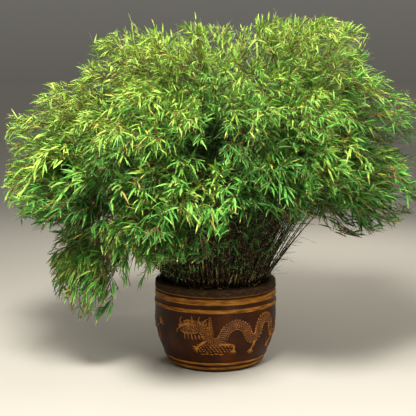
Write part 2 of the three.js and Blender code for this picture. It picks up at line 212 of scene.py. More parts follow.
# %% [markdown]
# ## Turning a form
# The pot is stoneware, thrown on a wheel: a section turned about the axis. It could be a Screw modifier on
# a drawn curve. A function of height is shorter, because the raised bands, the collar and the faint
# throwing lines are all sums of small steps in the radius.

# %% Pot wall
POT_HEIGHT = 488
FOOT_RADIUS = 262
BELLY_RADIUS = 350
BELLY_HEIGHT = 290
RIM_RADIUS = 339
MOUTH_RADIUS = 306
WALL = 26
FLOOR = 34
BANDS = [(14, 34), (45, 63), (351, 377), (397, 432)]
BAND_RELIEF = 5
COLLAR_FOOT = 438
COLLAR_RELIEF = 7
THROWING_LINES = [(9.3, 0.35, 0), (5.1, 0.2, 1)]
NECK = (400, 60)
LIP_START = 476


def wall_radius(z):
    """The bare wall in mm: a parabola under the belly, and a slow draw-in to the rim above it."""
    under = np.clip(BELLY_HEIGHT - z, 0, None) / BELLY_HEIGHT
    below = BELLY_RADIUS - (BELLY_RADIUS - FOOT_RADIUS) * under ** 2
    share = np.clip(z - BELLY_HEIGHT, 0, None) / (POT_HEIGHT - BELLY_HEIGHT)
    return below - (BELLY_RADIUS - RIM_RADIUS) * share ** 1.2


def raised(z, low, high, edge):
    """1 between two heights and 0 outside them, with a soft step as wide as edge at each."""
    return soft_step((z - low) / edge) * soft_step((high - z) / edge)


def in_neck(z):
    """0 in the pot's body and 1 up in its neck, where the inside draws in to the mouth."""
    return soft_step((z - NECK[0]) / NECK[1])


def turned(radius, height, around, wobble=0.0):
    """A section turned about Z in metres, with a fan of triangles closing it at each end on the axis. The
    wobble is the share by which the ring swells twice and three times on its way round, as clay does."""
    angle = np.linspace(0, 2 * np.pi, around, endpoint=False)
    swell = 1 + wobble * (np.sin(2 * angle + 0.7) + 0.6 * np.sin(3 * angle + 2.1))
    ring = radius[:, None] * swell
    points = np.stack([ring * np.cos(angle), ring * np.sin(angle), np.repeat(height[:, None], around, 1)], -1)
    rows = len(radius)
    poles = [[0, 0, height[0]], [0, 0, height[-1]]]
    first = np.arange(around)
    after = (first + 1) % around
    last = first + (rows - 1) * around
    under = np.stack([np.full(around, rows * around), after, first], -1)
    over = np.stack([np.full(around, rows * around + 1), last, (rows - 1) * around + after], -1)
    return np.concatenate([points.reshape(-1, 3), poles]) * MM, [grid_faces(rows, around), under, over]


# %% [markdown]
# ## The pot's section
# The section runs from the middle of the foot, up the outside, over the lip and down the inside to the
# middle of the floor. The throwing lines stand 9.3 mm apart, with finer ones between them, and the slip
# fills them on the bands. Each point also gets a tone for the finish: 0 is glaze, 1 slip, and 2 the bare
# clay of the collar, the lip and the inside.

# %% Pot
POT_AROUND = 240
OUTSIDE_RINGS = 206
LIP_RINGS = 12
INSIDE_RINGS = 26
FLAT_RINGS = 5
INNERMOST = 30

outside_z = np.concatenate([[0], np.linspace(1.5, LIP_START, OUTSIDE_RINGS)])
outside_r = wall_radius(outside_z) - 3 * soft_step(1 - outside_z / 4)
band_share = sum(raised(outside_z, low, high, 4) for low, high in BANDS)
collar_share = soft_step((outside_z - COLLAR_FOOT) / 9)
throwing = sum(relief * np.sin(outside_z * 2 * np.pi / pitch + phase)
               for pitch, relief, phase in THROWING_LINES)
outside_r = outside_r + BAND_RELIEF * band_share + COLLAR_RELIEF * collar_share + throwing * (1 - band_share)
foot_r = np.linspace(INNERMOST, outside_r[0] - 2, FLAT_RINGS)
lip_turn = np.linspace(0, np.pi, LIP_RINGS + 1)[1:]
lip_middle = (outside_r[-1] + MOUTH_RADIUS) / 2
lip_r = lip_middle + (outside_r[-1] - lip_middle) * np.cos(lip_turn)
lip_z = LIP_START + (POT_HEIGHT - LIP_START) * np.sin(lip_turn) ** 0.7
inside_z = np.linspace(LIP_START - 8, FLOOR, INSIDE_RINGS)
inside_r = wall_radius(inside_z) - WALL - (RIM_RADIUS - WALL - MOUTH_RADIUS) * in_neck(inside_z)
floor_r = np.linspace(inside_r[-1] - 20, INNERMOST, FLAT_RINGS)
flat = np.zeros(FLAT_RINGS)
section_r = np.concatenate([foot_r, outside_r, lip_r, inside_r, floor_r])
section_z = np.concatenate([flat, outside_z, lip_z, inside_z, flat + FLOOR])
bare_tone = np.full(LIP_RINGS + INSIDE_RINGS, 2)
section_tone = np.concatenate([flat, band_share + 2 * collar_share, bare_tone, flat])
pot_points, pot_faces = turned(section_r, section_z, POT_AROUND, wobble=0.0011)
pot_tone = np.concatenate([np.repeat(section_tone, POT_AROUND), [0, 0]])
print("pot:", len(section_r), "rings of", POT_AROUND, "points")

# %% [markdown]
# ## The pot's glaze
# The real pot is stoneware under an iron-brown glaze, dipped and fired, with ochre slip brushed on its
# raised bands and an unglazed, weathered collar. It could be three materials on three sets of faces. One
# material that mixes them by the tone lets their edges run ragged, as dipped and brushed ones do.
# Glaze runs thin and reddish over edges and pools dark, which a slow noise gives, and the pits of an open
# clay are a fine one, drawn at nearly 4 mm because the real 1 mm wouldn't show. The collar is rough and
# finely crazed. The slip's streaks are six times as long round the pot as they are high.

# %% Glaze
glaze, tree, shader = new_material("stoneware_glaze")
where = add_node(tree, "ShaderNodeTexCoord").outputs["Object"]
tone = add_node(tree, "ShaderNodeAttribute", attribute_name="tone").outputs["Fac"]
patch = add_node(tree, "ShaderNodeTexNoise",
                 {"Vector": where, "Scale": per_metre(111), "Detail": 5.0}).outputs["Fac"]
brown = add_node(tree, "ShaderNodeValToRGB", {"Fac": patch},
                 [(0.30, "#260e02"), (0.72, "#4a2207"), (0.52, "#351804")])
speck = add_node(tree, "ShaderNodeTexNoise",
                 {"Vector": where, "Scale": per_metre(3.85), "Detail": 3.0}).outputs["Fac"]
pits = add_node(tree, "ShaderNodeValToRGB", {"Fac": speck}, [(0.36, "#2c1606"), (0.50, "#ffffff")])
pitted = add_node(tree, "ShaderNodeMix", {0: 0.55, 6: brown.outputs[0], 7: pits.outputs[0]},
                  data_type="RGBA", blend_type="MULTIPLY")
drawn = add_node(tree, "ShaderNodeMapping", {"Vector": where, "Scale": (1, 1, 6)}).outputs["Vector"]
streak = add_node(tree, "ShaderNodeTexNoise",
                  {"Vector": drawn, "Scale": per_metre(71.4), "Detail": 6.0}).outputs["Fac"]
ochre = add_node(tree, "ShaderNodeValToRGB", {"Fac": streak},
                 [(0.30, "#4c2c0c"), (0.70, "#a37436"), (0.5, "#855415")])
crackle = add_node(tree, "ShaderNodeTexNoise",
                   {"Vector": drawn, "Scale": per_metre(29.4), "Detail": 8.0}).outputs["Fac"]
weathered = add_node(tree, "ShaderNodeValToRGB", {"Fac": crackle},
                     [(0.28, "#1c1108"), (0.74, "#4d3a26"), (0.52, "#302112")])
ragged = add_node(tree, "ShaderNodeMath", {0: streak, 1: 0.5}, operation="SUBTRACT").outputs[0]
worn = add_node(tree, "ShaderNodeMath", {0: ragged, 1: 0.9, 2: tone}, operation="MULTIPLY_ADD").outputs[0]
is_slip = add_node(tree, "ShaderNodeMapRange", {"Value": worn, "From Min": 0.42, "From Max": 0.62})
is_collar = add_node(tree, "ShaderNodeMapRange", {"Value": worn, "From Min": 1.35, "From Max": 1.6})
banded = add_node(tree, "ShaderNodeMix", {0: is_slip.outputs[0], 6: pitted.outputs[2], 7: ochre.outputs[0]},
                  data_type="RGBA")
collared = add_node(tree, "ShaderNodeMix",
                    {0: is_collar.outputs[0], 6: banded.outputs[2], 7: weathered.outputs[0]},
                    data_type="RGBA")
tree.links.new(collared.outputs[2], shader.inputs["Base Color"])
rough = add_node(tree, "ShaderNodeMapRange", {"Value": worn, "From Max": 2.0, "To Min": 0.36, "To Max": 0.8})
tree.links.new(rough.outputs[0], shader.inputs["Roughness"])
shader.inputs["Specular IOR Level"].default_value = 0.1
grain = add_node(tree, "ShaderNodeMath", {0: crackle, 1: speck}, operation="ADD").outputs[0]
bump = add_node(tree, "ShaderNodeBump", {"Height": grain, "Strength": 0.35, "Distance": 0.0012})
tree.links.new(bump.outputs[0], shader.inputs["Normal"])
add_piece("pot_turned", pot_points, pot_faces, None, glaze, "pot_glaze", ["pot"], tone=pot_tone)

# %% [markdown]
# ## Strokes of slip
# Potters lay such a dragon on by hand, as rolls of slip pressed flat and then marked scale by scale. It
# could be sculpted, or be bevelled curves shrunk on to the wall. Here every stroke is a closed roll of clay
# that follows a line on the unrolled belly, because a function can put each point just proud of the wall.
# Across the line the roll is a flattened half circle, and its width changes along it.

# %% Stroke maker
BEDDING = 0.8


def smooth_line(knots, count):
    """A smooth line through knots, at points evenly spaced along it: each stretch is the cubic whose slope
    at a knot is half the way from the knot before to the knot after. Returns the points and the line's
    length."""
    knots = np.asarray(knots, float)
    padded = np.concatenate([knots[:1], knots, knots[-1:]])
    place = np.linspace(0, len(knots) - 1, 40 * len(knots))
    stretch = np.minimum(place.astype(int), len(knots) - 2)
    t = (place - stretch)[:, None]
    before, start, end, after = (padded[stretch + k] for k in range(4))
    slope_in = (end - before) / 2
    slope_out = (after - start) / 2
    cubic = (2 * start - 2 * end + slope_in + slope_out) * t ** 3
    line = cubic + (3 * end - 3 * start - 2 * slope_in - slope_out) * t ** 2 + slope_in * t + start
    length = np.concatenate([[0], np.cumsum(np.linalg.norm(np.diff(line, axis=0), axis=1))])
    wanted = np.linspace(0, length[-1], count)
    return np.stack([np.interp(wanted, length, line[:, k]) for k in range(line.shape[1])], -1), length[-1]


def left_of(line):
    """The unit vector square to a flat line at each of its points, on its left."""
    return unit(np.stack([-np.gradient(line[:, 1]), np.gradient(line[:, 0])], -1))


def stroke(knots, half_width, crest, along=26, around=10, marks=None):
    """A roll of slip on the belly. knots are in mm on the unrolled wall. Across the line, a point at the
    angle a lies cos a half-widths out. It stands crest mm times sin a to the power 0.6 proud of the wall,
    or 2 mm times sin a deep where sin a is below 0, less the bedding, and marks are added on its top.
    Returns its points in metres, its faces and its tone."""
    line, length = smooth_line(knots, along)
    share = np.linspace(0, 1, along)
    width = half_width(share)[:, None]
    turn = np.linspace(0, 2 * np.pi, around, endpoint=False)
    out = np.sin(turn)
    flat = line[:, None] + left_of(line)[:, None] * (width * np.cos(turn))[..., None]
    lift = np.tile(np.where(out > 0, crest * np.clip(out, 0, 1) ** 0.6, 2 * out) - BEDDING, (along, 1))
    tone = np.where(out > 0.2, 1.0, 0.25) * np.ones_like(lift)
    if marks is not None:
        mark = marks(share[:, None] * length, width * np.cos(turn), width) * (out > 0.1)
        lift = lift + mark
        tone = np.where(out > 0, 0.08 + 0.38 * np.clip(mark, 0, None), tone)
    angle = flat[..., 0] / BELLY_RADIUS
    radius = wall_radius(flat[..., 1]) + lift
    points = np.stack([radius * np.sin(angle), -radius * np.cos(angle), flat[..., 1]], -1).reshape(-1, 3)
    first = np.arange(around)
    caps = np.stack([first[::-1], first + (along - 1) * around])
    return points * MM, [grid_faces(along, around), caps], tone.ravel()


# %% [markdown]
# ## The dragon's body
# The body is one long stroke, written as degrees round the belly and heights in mm. It loops up and down
# between the bands, and its crest carries the marks of the tool: rows of little scales, a groove along the
# belly edge and, on the head, ridges in rings round the eye.

# %% Body and scales
SPINE = [(-32, 270), (-25, 280), (-17, 280), (-11.4, 264), (-8.8, 236), (-6.3, 204), (-0.7, 189), (4.9, 204),
         (7, 229), (8.6, 251), (11.8, 273), (19, 291), (26.2, 273), (29.4, 251), (31, 229), (33.2, 209),
         (37.2, 200), (41.2, 209), (43.3, 232), (44, 262), (46.6, 291), (52.4, 305), (58.2, 291), (60.8, 262),
         (61.6, 232), (64.4, 204), (71, 190), (80, 196), (89, 208), (98, 213), (107, 226), (119, 262)]
SCALE_PITCH = (6.2, 12.0)
RING_PITCH = 11
EYE_DISTANCE = 40
HEAD_LENGTH = 70
MM_PER_DEGREE = math.radians(1) * BELLY_RADIUS


def on_wall(points):
    """Points given as degrees round the belly and heights in mm, on the unrolled wall."""
    points = np.asarray(points, float)
    return np.stack([points[:, 0] * MM_PER_DEGREE, points[:, 1]], -1)


def scales(distance, across, half_width):
    """Staggered rows of little scales, longer across the body than along it, and a groove along the belly
    edge for its beads, in mm: the product of a cosine along and a cosine across. On the head they give way
    to the square of a cosine of the distance from the eye, broken up by one of the angle round it."""
    scale = np.cos(np.pi * distance / SCALE_PITCH[0]) * np.cos(np.pi * across / SCALE_PITCH[1])
    body = np.where(across / half_width < -0.66, -1.0, 2.6 * np.clip(scale, -0.1, 1))
    ahead = distance - EYE_DISTANCE
    from_eye = np.hypot(ahead, across)
    broken = 0.55 + 0.45 * np.cos(9 * np.arctan2(across, ahead))
    rings = 2.8 * np.cos(np.pi * from_eye / RING_PITCH) ** 2 * broken
    return between(rings, body, soft_step((distance - HEAD_LENGTH) / 20))


def body_width(share):
    """A blunt head, an even body and a drawn-out tail, in mm: a bell curve over the head, added to a width
    that falls evenly over the last two fifths."""
    return 7 * np.exp(-((share - 0.07) / 0.05) ** 2) + 28 * np.clip((1 - share) / 0.4, 0.14, 1)


strokes = [stroke(on_wall(SPINE), body_width, 3.2, along=520, around=48, marks=scales)]
print("body:", round(smooth_line(on_wall(SPINE), 2)[1]), "mm long on the unrolled belly")

# %% [markdown]
# ## Fine strokes
# All the rest is drawn with a loaded brush, which leaves a stroke that swells and tapers. Two lines are
# used over and over: a curl, which is a spiral, and a sweep, which bends evenly like a flick of the wrist.

# %% Curls and sweeps
def lay(knots, thick, crest, thin=0.12, along=26, around=10):
    """Lays one more stroke, crest mm proud. Its half width is thin times thick at its start, and swells
    to thick a third of the way along by a half wave of the distance to the power 0.7."""
    def half_width(share):
        return thick * (thin + (1 - thin) * np.sin(np.pi * share ** 0.7))

    strokes.append(stroke(knots, half_width, crest, along, around))


def curl(middle, radius, start, turns, wind=1):
    """A spiral that closes in on its middle: the radius shrinks evenly with the angle turned."""
    share = np.linspace(0, 1, 9)
    angle = math.radians(start) + wind * 2 * np.pi * turns * share
    reach = radius * (1 - 0.85 * share)
    x = middle[0] * MM_PER_DEGREE + reach * np.cos(angle)
    return np.stack([x, middle[1] + reach * np.sin(angle)], -1)


def sweep(start, heading, length, bend):
    """A line in mm from a start in degrees and mm, that turns evenly through bend degrees on its way."""
    share = np.linspace(0, 1, 6)
    turned_to = np.radians(heading + bend * share)
    steps = np.stack([np.cos(turned_to), np.sin(turned_to)], -1) * length / 5
    origin = np.array([start[0] * MM_PER_DEGREE, start[1]])
    return origin + np.cumsum(np.concatenate([[[0, 0]], steps[:-1]]), axis=0)


# %% [markdown]
# ## The head and the mane
# The head looks left, with its jaws open. Drawing it as single strokes, in the order that a potter would,
# keeps each horn, tooth and whisker crisp where a carved block would go soft.

# %% Head and mane
# Upper jaw, lower jaw, brow, nose curl and eye
lay(on_wall([(-35, 266), (-32, 282), (-26, 290), (-18, 290)]), 9, 6, 0.5)
lay(on_wall([(-34, 250), (-29, 240), (-22, 241), (-16, 250)]), 6, 5, 0.4)
lay(on_wall([(-31, 304), (-25, 313), (-19, 306)]), 4.5, 7)
lay(curl((-34, 279), 9, 200, 1.1, -1), 3.6, 6.5, 0.4)
lay(curl((-25, 271), 11, 20, 1.3), 3.4, 7, 0.4)
# Teeth, whiskers and beard
for k in range(4):
    lay(sweep((-33 + 3 * k, 264), 262, 9, 20), 2.6, 5, along=7, around=8)
lay(sweep((-34, 264), 190, 46, 110), 2.6, 4)
lay(sweep((-33, 290), 130, 44, -120), 2.6, 4)
for row in range(2):
    for k in range(6):
        lay(sweep((-29 + 3.2 * k, 236 - 11 * row), 240 + 12 * k, 26, 60), 2.8, 4, along=12, around=8)
# The horns, and flames between them and the mane
for k in range(3):
    lay(sweep((-20 + 4 * k, 298), 128 - 34 * k, 44, -45), 4, 6, along=14, around=8)
for k in range(4):
    lay(sweep((-14 + 2.4 * k, 286), 86 - 8 * k, 30, 50), 3.2, 5, along=14, around=8)
# The mane is a feather: a rib, with barbs that slope down and away from it on both sides
lay(on_wall([(-5.2, 236), (-5.6, 285), (-4.8, 338)]), 2.2, 5, 0.3)
for k in range(9):
    for away in (-1, 1):
        barb = sweep((-5.3, 250 + 10.5 * k), 90 - 118 * away, 29 - 2.3 * k, -26 * away)
        lay(barb, 2.5, 5, along=12, around=8)
print("head and mane:", len(strokes) - 1, "strokes")

# %% [markdown]
# ## Fins, legs, waves and clouds
# Fins stand close together along the back, and beads along the belly. They follow the body's own line, so
# they are worked out from it, while the legs and the clouds are given by two short tables.

# %% Fins, legs, waves and clouds
FINS = 82
LEGS = [((3, 180), (16, 172), (17.5, 146), 262), ((-9, 200), (-14, 180), (-18, 160), 216),
        ((40, 184), (39, 160), (37, 138), 258), ((62, 206), (66, 176), (63, 150), 230)]
CLOUDS = [((76, 240), 13, 200), ((92, 150), 17, 60), ((104, 160), 15, 140), ((78, 140), 16, 20),
          ((96, 262), 15, 20), ((112, 178), 14, 230)]

fin_line = smooth_line(on_wall(SPINE), FINS)[0]
fin_side = left_of(fin_line)
fin_width = body_width(np.linspace(0, 1, FINS))
for k in range(9, FINS - 3):
    on_way = unit(fin_line[k + 1] - fin_line[k - 1])
    foot = fin_line[k] + fin_side[k] * (fin_width[k] - 7)
    lean = fin_side[k] * 11 + on_way * 9
    lay([foot, foot + 0.6 * lean, foot + lean], 3.0, 4.6, 0.05, along=7, around=8)
    bead = fin_line[k] - fin_side[k] * (fin_width[k] - 4)
    lay([bead - 3.6 * on_way, bead, bead + 3.6 * on_way], 4.4, 6.5, 0.4, along=6, around=8)
# Each leg runs from hip to knee to paw, with four claws spread about its heading
for hip, knee, paw, heading in LEGS:
    lay(on_wall([hip, knee, paw]), 8.5, 4.5, 0.5)
    for k in range(4):
        lay(sweep(paw, heading - 52 + 30 * k, 34, 30), 3.6, 5, along=14, around=8)
# Waves break in short curved strokes under the head, and clouds curl under the tail
for row in range(4):
    for k in range(10):
        root = (-18 + 3.4 * k + 1.7 * (row % 2), 178 - 13 * row + 2 * math.sin(1.9 * k))
        lay(sweep(root, -14 + 10 * math.sin(k + row), 17, -50), 2.9, 4, along=12, around=8)
for k in range(5):
    lay(sweep((-15 + 4.6 * k, 121 + 4 * (k % 2)), -22, 27, 46), 3, 4)
for middle, size, start in CLOUDS:
    lay(curl(middle, size, start, 1.25), 3.2, 4, 0.3, along=40)
    lay(sweep(middle, start + 200, 2.6 * size, 40), 3.6, 4)
# The tail ends in a tuft of flames
for k in range(5):
    lay(sweep((118, 258), 110 - 26 * k, 44, 40 - 16 * k), 3.6, 4)
print("dragon:", len(strokes), "strokes of slip")

# %% [markdown]
# ## The slip's finish
# Ochre slip is a clay paint: lighter and a little rougher than the glaze, thin enough on the low places
# that the brown shows through. It could be painted by hand in Texture Paint. Here the tone of each point,
# which is its height on the relief, mixes the two, so the brown lies exactly in the grooves. The brush
# leaves lighter and darker patches about 30 mm across, and the brown has specks of about 10 mm. All strokes
# are joined into one piece, and a second one goes round the pot by half a turn.

# %% Slip
slip, tree, shader = new_material("ochre_slip")
where = add_node(tree, "ShaderNodeTexCoord").outputs["Object"]
tone = add_node(tree, "ShaderNodeAttribute", attribute_name="tone").outputs["Fac"]
patch = add_node(tree, "ShaderNodeTexNoise",
                 {"Vector": where, "Scale": per_metre(33.3), "Detail": 5.0}).outputs["Fac"]
ochre = add_node(tree, "ShaderNodeValToRGB", {"Fac": patch},
                 [(0.28, "#70400e"), (0.74, "#ad7228"), (0.52, "#8e5816")])
speck = add_node(tree, "ShaderNodeTexNoise",
                 {"Vector": where, "Scale": per_metre(11.1), "Detail": 3.0}).outputs["Fac"]
brown = add_node(tree, "ShaderNodeValToRGB", {"Fac": speck}, [(0.3, "#2b1305"), (0.7, "#482308")])
uneven = add_node(tree, "ShaderNodeMath", {0: patch, 1: 0.5, 2: tone}, operation="MULTIPLY_ADD").outputs[0]
proud = add_node(tree, "ShaderNodeMapRange", {"Value": uneven, "From Min": 0.42, "From Max": 0.95}).outputs[0]
brushed = add_node(tree, "ShaderNodeMix", {0: proud, 6: brown.outputs[0], 7: ochre.outputs[0]},
                   data_type="RGBA")
tree.links.new(brushed.outputs[2], shader.inputs["Base Color"])
shader.inputs["Roughness"].default_value = 0.42
shader.inputs["Specular IOR Level"].default_value = 0.2
bump = add_node(tree, "ShaderNodeBump", {"Height": speck, "Strength": 0.3, "Distance": 0.0008})
tree.links.new(bump.outputs[0], shader.inputs["Normal"])


def joined(parts):
    """Several sets of points, faces and a value for each point as one, with the corner numbers moved up."""
    counts = np.cumsum([0] + [len(p[0]) for p in parts])
    faces = [f + shift for part, shift in zip(parts, counts) for f in part[1]]
    return np.concatenate([p[0] for p in parts]), faces, np.concatenate([p[2] for p in parts])


dragon_points, dragon_faces, dragon_tone = joined(strokes)
for side, half_turn in [("front", [1, 1, 1]), ("back", [-1, -1, 1])]:
    add_piece(f"dragon_{side}_relief", dragon_points * half_turn, dragon_faces, None, slip, "ochre_slip",
              [f"dragon_{side}"], tone=dragon_tone)

# %% [markdown]
# ## The soil
# Moist potting mix is dark, crumbly and higher in the middle, where the clump has pushed it up. It could be
# a plane with a Displace modifier. Here the solid that fills the pot is turned like the pot, and then its
# top is pushed about by a sum of waves in many directions, which is a cheap noise on whole arrays. Its
# crumbs are about 8 mm across, and it is rough all over, because loose crumbs scatter the light.

# %% Soil
SOIL_HEIGHT = 462
SOIL_FLAT_RINGS = 3
SOIL_WALL_RINGS = 10
SOIL_TOP_RINGS = 44


def rough_field(points, wavelength, seed):
    """A sum of sine waves in 12 directions, of wavelengths about the one given, from about -1 to 1."""
    random = np.random.default_rng(seed)
    heading = unit(random.normal(size=(12, 3)))
    rate = 2 * np.pi / (wavelength * random.uniform(0.7, 1.6, 12))
    return np.sin(points @ (heading * rate[:, None]).T + random.uniform(0, 2 * np.pi, 12)).sum(-1) / 4


soil_wall_z = np.linspace(60, 455, SOIL_WALL_RINGS)
soil_z = np.concatenate([np.full(SOIL_FLAT_RINGS, FLOOR + 1.0), soil_wall_z,
                         np.full(SOIL_TOP_RINGS, SOIL_HEIGHT)])
soil_r = np.concatenate([np.linspace(40, 235, SOIL_FLAT_RINGS),
                         wall_radius(soil_wall_z) - WALL - 8 - 6 * in_neck(soil_wall_z),
                         np.linspace(MOUTH_RADIUS - 5, 6, SOIL_TOP_RINGS)])
soil_points, soil_faces = turned(soil_r, soil_z, 150)
on_top = soft_step((soil_points[:, 2] / MM - (SOIL_HEIGHT - 6)) / 4)
from_axis = np.hypot(soil_points[:, 0], soil_points[:, 1]) / MM
lumps = 5 * rough_field(soil_points, 0.035, 3) + 2.5 * rough_field(soil_points, 0.012, 4)
mound = 9 * soft_step(1.2 - from_axis / 230)
soil_points[:, 2] += on_top * (mound + lumps - 1) * MM

soil, tree, shader = new_material("potting_mix")
where = add_node(tree, "ShaderNodeTexCoord").outputs["Object"]
crumb = add_node(tree, "ShaderNodeTexNoise",
                 {"Vector": where, "Scale": per_metre(8.33), "Detail": 6.0}).outputs["Fac"]
humus = add_node(tree, "ShaderNodeValToRGB", {"Fac": crumb},
                 [(0.3, "#120b06"), (0.75, "#4a3826"), (0.55, "#281b10")])
tree.links.new(humus.outputs[0], shader.inputs["Base Color"])
shader.inputs["Roughness"].default_value = 0.95
bump = add_node(tree, "ShaderNodeBump", {"Height": crumb, "Strength": 0.8, "Distance": 0.004})
tree.links.new(bump.outputs[0], shader.inputs["Normal"])
add_piece("soil_crumbly", soil_points, soil_faces, None, soil, "potting_soil", ["root_ball"])

# %% [markdown]
# ## How the crown is laid out
# A clump of bamboo looks wild, but it grows by a rule, and the frame's solids follow that rule too. Masses
# of leaves stand in four tiers, each mass in a space of its own: an ellipsoid, cut where the next mass is
# nearer. The tiers could be read off the frame's meshes. The rule is written out again instead, because it
# also says which way each mass flows. One number is drawn for each question, from a sine that depends only
# on its keys, so the growth here starts from the very same limbs as the solids.

# %% Tiers of the crown
SEED = 41.7
GAP = 0.3
CROWN_OF_ROOTS_RADIUS = 272
CROWN_OF_ROOTS_HEIGHT = 12
UP = np.array([0.0, 0.0, 1.0])
GOLDEN = math.radians(137.5)
# A tier's masses stand on a ring, given by its centre, its two radii and the degrees where it starts and
# ends. spread and depth are the radii of a mass's ellipsoid, lift its stem's slope in degrees, foot how far
# from the axis its culm stands, and rise how far each mass is raised. Its twigs flow outward and as much up
# as flow says, its leaves hang between two slopes, and leaf and slim give their length and their width over
# it. boughs counts its boughs, full is the share of sprigs with leaves, and light is painted light that
# makes its greens lighter.
TIERS = [
    {"name": "top", "count": 5, "centre": (85, 0, 1595), "ring": (530, 380), "arc": (20, 380), "spread": 370,
     "depth": 330, "lift": 52, "foot": 95, "rise": [75, 35, -15, -15, 60], "flow": 0.35,
     "hang": (-0.50, 0.30), "leaf": (42, 76), "slim": (0.085, 0.12), "boughs": 10, "full": 0.88,
     "light": 0.04},
    {"name": "shoulder", "count": 7, "centre": (-20, 0, 1310), "ring": (775, 700), "arc": (-12, 348),
     "spread": 370, "depth": 310, "lift": 16, "foot": 165, "rise": [70, 40, 10, 20, -10, -10, 30],
     "flow": 0.05, "hang": (-0.48, 0.25), "leaf": (42, 78), "slim": (0.09, 0.13), "boughs": 12, "full": 0.9,
     "light": 0.0},
    {"name": "skirt", "count": 8, "centre": (-45, 0, 1005), "ring": (830, 710), "arc": (-12, 348),
     "spread": 370, "depth": 275, "lift": -10, "foot": 215, "rise": [30, 60, 10, 20, 40, 30, -25, 165],
     "flow": -0.05, "hang": (-0.55, 0.20), "leaf": (60, 100), "slim": (0.12, 0.165), "boughs": 12,
     "full": 0.6, "light": 0.34},
    {"name": "weeping", "count": 4, "centre": (-60, 0, 630), "ring": (725, 580), "arc": (150, 270),
     "spread": 185, "depth": 350, "lift": -60, "foot": 245, "rise": [20, -20, 0, 225], "flow": -0.35,
     "hang": (-0.35, 0.30), "leaf": (62, 102), "slim": (0.14, 0.18), "boughs": 7, "full": 0.26,
     "light": 0.66},
]


def draw(*keys):
    """A number from 0 to 1 for its keys: the broken part of a large sine of their weighted sum."""
    mixed = SEED + sum(key * (12.9898 + 65.2342 * place) for place, key in enumerate(keys))
    wave = np.sin(mixed) * 43758.5453
    return wave - np.floor(wave)


tier_index = np.concatenate([np.full(tier["count"], i) for i, tier in enumerate(TIERS)])
in_tier = np.concatenate([np.arange(tier["count"]) for tier in TIERS])


def of_tier(key):
    """One value of the tiers' table for each mass."""
    return np.array([TIERS[i][key] for i in tier_index], float)


mass_key = tier_index * 10 + in_tier
every_mass = np.arange(len(mass_key))
arc = of_tier("arc")
mass_angle = np.radians(between(arc[:, 0], arc[:, 1], in_tier / of_tier("count")))
outward = np.stack([np.cos(mass_angle), np.sin(mass_angle), 0 * mass_angle], -1)
ring = np.concatenate([of_tier("ring"), np.zeros((len(arc), 1))], 1)
mass_centre = of_tier("centre") + ring * outward
mass_centre[:, 2] += [TIERS[i]["rise"][k] for i, k in zip(tier_index, in_tier)]
lift = np.radians(of_tier("lift"))[:, None]
mass_axis = outward * np.cos(lift) + UP * np.sin(lift)
mass_flow = unit(outward + UP * of_tier("flow")[:, None])
mass_size = np.stack([of_tier("spread"), of_tier("spread"), of_tier("depth")], -1)
print("crown:", len(mass_key), "masses, highest centre", round(float(mass_centre[:, 2].max())), "mm up")

# %% [markdown]
# ## Room to grow
# A limb may fill its mass's space and no more. How much room it has could be worked out exactly. Walking
# along it in short steps, all limbs at once, is slower and far simpler, and gives the same answer to
# within a step.

# %% Room in a mass
def depth_in(mass, points):
    """How deep points lie in their mass's ellipsoid: 0 at its centre and 1 on its skin."""
    return np.linalg.norm((points - mass_centre[mass]) / mass_size[mass], axis=-1)


def in_cell(mass, points, spare):
    """Whether points are nearer to their own mass's centre than to any other's, with spare mm over."""
    across = mass_centre[None] - mass_centre[mass][:, None]
    middle = (mass_centre[None] + mass_centre[mass][:, None]) / 2
    reach = np.maximum(np.linalg.norm(across, axis=-1), 1e-9)
    left = ((middle - points[:, None]) * across).sum(-1) / reach
    left[np.arange(len(mass)), mass] = np.inf
    return (left > spare).all(1)


def room_along(mass, start, direction, skin, spare=5.5, step=8):
    """The way in mm from start along direction before the mass's space ends, in whole steps. skin is the
    depth in the ellipsoid at which it ends."""
    length = np.zeros(len(start))
    going = np.ones(len(start), bool)
    while going.any():
        here = start + direction * length[:, None]
        going = going & (depth_in(mass, here) < skin) & in_cell(mass, here, spare)
        length = length + step * going
    return np.maximum(0, length - step)


# %% [markdown]
# ## Stems
# Every limb is a curve with three or four knots. It could be a longer list of points, but a few knots that
# pull a smooth curve towards them are short to write and easy to bend. A mass's stem enters its space on the
# inner side, arches over its middle and ends near its skin.

# %% Curves and stems
def curve_points(knots, count):
    """Points of smooth curves with 3 or 4 knots each, at even steps of the curve's own parameter t: each
    knot counts by its binomial number times t to its place and 1 less t to the places left."""
    t = np.linspace(0, 1, count)[None, :, None]
    last = knots.shape[1] - 1
    weights = [math.comb(last, place) * t ** place * (1 - t) ** (last - place) for place in range(last + 1)]
    return sum(weight * knots[:, place, None] for place, weight in enumerate(weights))


def curve_at(knots, t):
    """The point and the unit tangent of each three-knot curve at its own place t."""
    t = t[:, None]
    point = (1 - t) ** 2 * knots[:, 0] + 2 * t * (1 - t) * knots[:, 1] + t ** 2 * knots[:, 2]
    tangent = (1 - t) * (knots[:, 1] - knots[:, 0]) + t * (knots[:, 2] - knots[:, 1])
    return point, unit(tangent)


ARCH = 0.16
entry = mass_centre - mass_axis * room_along(every_mass, mass_centre, -mass_axis, 0.8)[:, None]
ahead = room_along(every_mass, mass_centre, mass_axis, 0.86)[:, None]
over = mass_centre + UP * mass_size[:, 2:] * ARCH
stems = np.stack([entry, over, mass_centre + mass_axis * ahead], 1)
stem_length = np.linalg.norm(stems[:, 2] - stems[:, 0], axis=1)
print("stems:", round(float(stem_length.mean())), "mm long on average")

